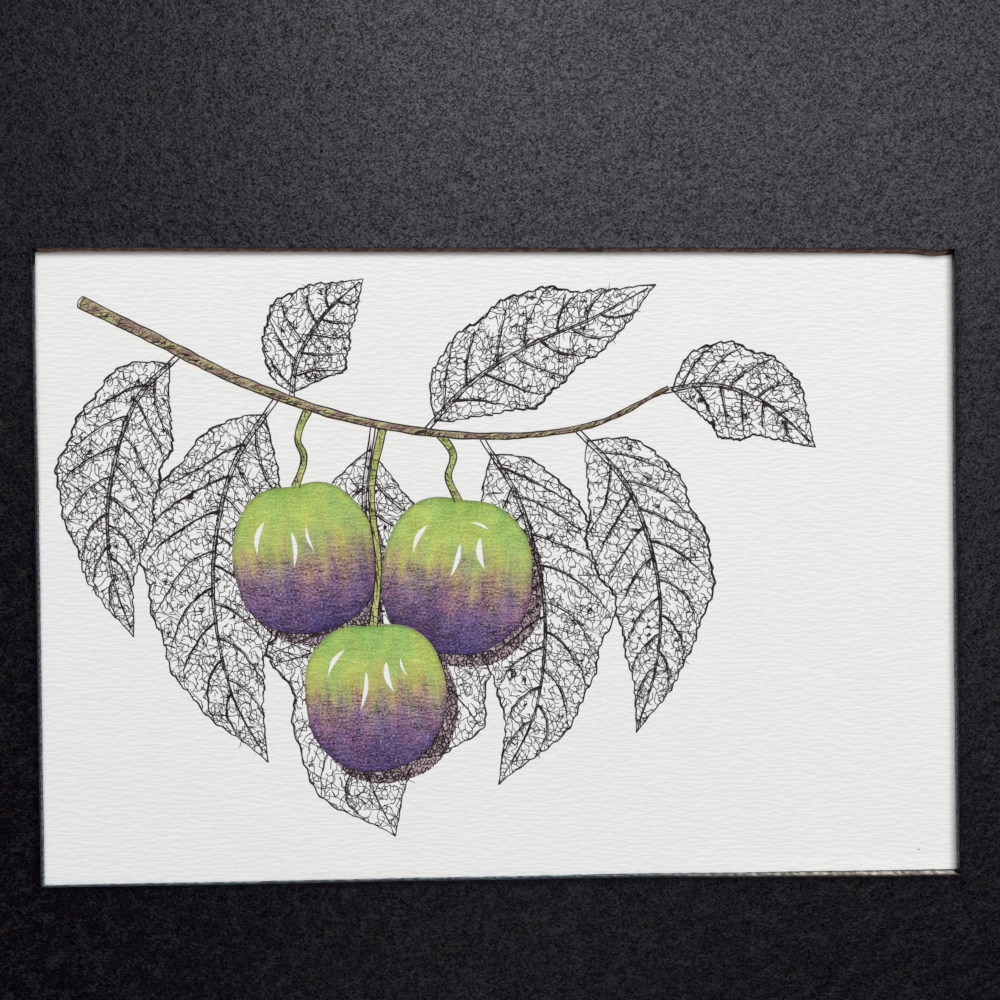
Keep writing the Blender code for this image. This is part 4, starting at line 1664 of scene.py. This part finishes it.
def drawFruit(fruit, ahead, covers):
    outline = fruitOutline(fruit)
    lenses = [lensOutline(fruit, glint) for glint in fruit["glints"]]
    hidden = nearby(outline, covers)
    film = washSheet("wash" + fruit["name"], outline, covers, lenses, fruitMaterial)
    addFruitMap(film, fruit, ahead)
    low = numpy.vstack([outline[100:], outline[:16]])
    inkStrokes([stroke(low, nib["fruitFoot"], 0.3, 0.3, fruit["seed"])], hidden)
    return outline


inkLevel = cardHigh.z + ink["level"]
penTree = makePenTree()
netTree = makeNetTree()
pigmentGroup = makePigmentGroup()
inkMaterial = inkFinish()
fruitMaterial = fruitFinish()
stalkMaterial = plainWash("stalkWash", *wash["stalk"])
branchMaterial = plainWash("branchWash", *wash["branch"])
shadowMaterial = plainWash("shadowWash", *wash["shadow"])
print("made the drawing's trees and washes")


def drawStems():      # the branch, the stalks and the fruits, front to back: what covers the leaves
    path = evenPath(branch["path"], 200) * mm
    halves = numpy.linspace(branch["thick"], branch["thin"], len(path))
    knots = [noise.noise(Vector((step / 7.0, 0.0, 3.0))) for step in range(len(path))]
    halves += branch["knots"] * numpy.array(knots)
    front = [drawStem("Branch", path, halves, [], branchMaterial, branch["hatch"], branch["seed"])]
    for number, fruit in enumerate(fruits):
        path = evenPath(fruit["stalk"], 40) * mm
        share = numpy.linspace(0, 1, len(path))
        halves = stalk["thin"] + stalk["root"] * (1 - share) ** 3 + stalk["foot"] * share ** 5
        name = "Stalk" + fruit["name"]
        front.append(drawStem(name, path, halves, front, stalkMaterial, stalk["hatch"], fruit["seed"]))
        front.append(drawFruit(fruit, fruits[:number], front))
    return front


def drawShadow(fruit, covers):      # a wash below and right of a fruit, with a dense net over it
    moved = fruitOutline(fruit) + numpy.array(ink["shadowShift"]) * mm
    washSheet("washShadow" + fruit["name"], moved, covers, [], shadowMaterial)
    name = "netShade" + fruit["name"]
    dense = netOver(name, flatRegion(moved, covers), Cell=ink["shadowCell"], Loss=ink["shadowLoss"],
                    Seed=fruit["seed"] + 60, HalfWidth=ink["shadowHalfWidth"])
    ridePiece(makeObject(name, dense))


def drawSprig():
    front = drawStems()
    stems = list(front)
    for leaf in leaves:
        front.append(drawLeaf(leaf, front))
    for fruit in fruits:
        drawShadow(fruit, stems)
    lines = rawMesh("penLines", pen["points"], edges=pen["edges"])
    notePoints(lines, "halfWidth", pen["widths"])
    drawn = runTree("penLines", lines, penTree, Level=inkLevel, Finish=inkMaterial)
    ridePiece(makeObject("penLines", drawn))


drawSprig()


# Floor, lights and camera

floor = {"reach": 4.0, "level": -0.05 * mm, "colours": ((0.70, 0.70, 0.69), (0.74, 0.74, 0.73))}


def addFloor():
    material, tree, shader, place = newSurface("floorPaint", 0.85, 0.3)
    tone = grained(tree, place, (0.2, 0.2, 0.2), detail=2.0)
    feed(tree, shader.inputs["Base Color"], mixed(tree, tone, *floor["colours"]))
    far = floor["reach"]
    corners = [(x, y, floor["level"]) for x, y in ((-far, -far), (far, -far), (far, far), (-far, far))]
    makeObject("floor", rawMesh("floor", corners, [(0, 1, 2, 3)]), material)


# Soft boxes over the picture: the angle from straight up, the bearing from the picture's top
# towards its right side, and the power in watts
softBoxes = [
    {"from": "top", "tilt": 32, "bearing": 0, "power": 8.8},
    {"from": "topRight", "tilt": 32, "bearing": 45, "power": 6.3},
    {"from": "overTop", "tilt": 20, "bearing": 0, "power": 2.5},
    {"from": "overRight", "tilt": 20, "bearing": 100, "power": 2.6},
    {"from": "overLeft", "tilt": 20, "bearing": 315, "power": 0.9},
    {"from": "bottom", "tilt": 32, "bearing": 180, "power": 1.1},
    {"from": "lowRight", "tilt": 45, "bearing": 45, "power": 1.0},
    {"from": "lowLeft", "tilt": 45, "bearing": 300, "power": 0.6},
]
studio = {
    "distance": 1.5,
    "boxSize": 0.5,
    "fill": 0.03,
    "lens": 36.0,      # as wide as the sensor
    "cameraPlace": (-3.007 * mm, 11.346 * mm, 161.884 * mm),
    "cameraTurn": (-0.365, -1.076, -0.384),
}


def addLights():
    for box in softBoxes:
        tilt, bearing = math.radians(box["tilt"]), math.radians(box["bearing"])
        flat = Vector((math.sin(bearing), math.cos(bearing), 0.0))
        away = flat * math.sin(tilt) + Vector((0.0, 0.0, math.cos(tilt)))
        lamp = bpy.data.lights.new(box["from"], "AREA")
        lamp.size = studio["boxSize"]
        lamp.energy = box["power"]
        holder = bpy.data.objects.new(box["from"], lamp)
        holder.location = away * studio["distance"]
        holder.rotation_euler = (-away).to_track_quat("-Z", "Y").to_euler()
        bpy.context.scene.collection.objects.link(holder)
    world = bpy.data.worlds.new("room")
    world.use_nodes = True
    background = world.node_tree.nodes["Background"]
    background.inputs["Strength"].default_value = studio["fill"]
    background.inputs["Color"].default_value = (1.0, 1.0, 1.0, 1.0)
    bpy.context.scene.world = world


def addCamera():
    lens = bpy.data.cameras.new("camera")
    lens.lens = studio["lens"]
    lens.sensor_width = 36.0
    lens.clip_start = 0.01
    camera = bpy.data.objects.new("camera", lens)
    camera.location = studio["cameraPlace"]
    camera.rotation_euler = [math.radians(angle) for angle in studio["cameraTurn"]]
    bpy.context.scene.collection.objects.link(camera)
    bpy.context.scene.camera = camera


addFloor()
addLights()
addCamera()
bpy.context.scene.view_settings.view_transform = "Standard"
print("set the floor, lights and camera")
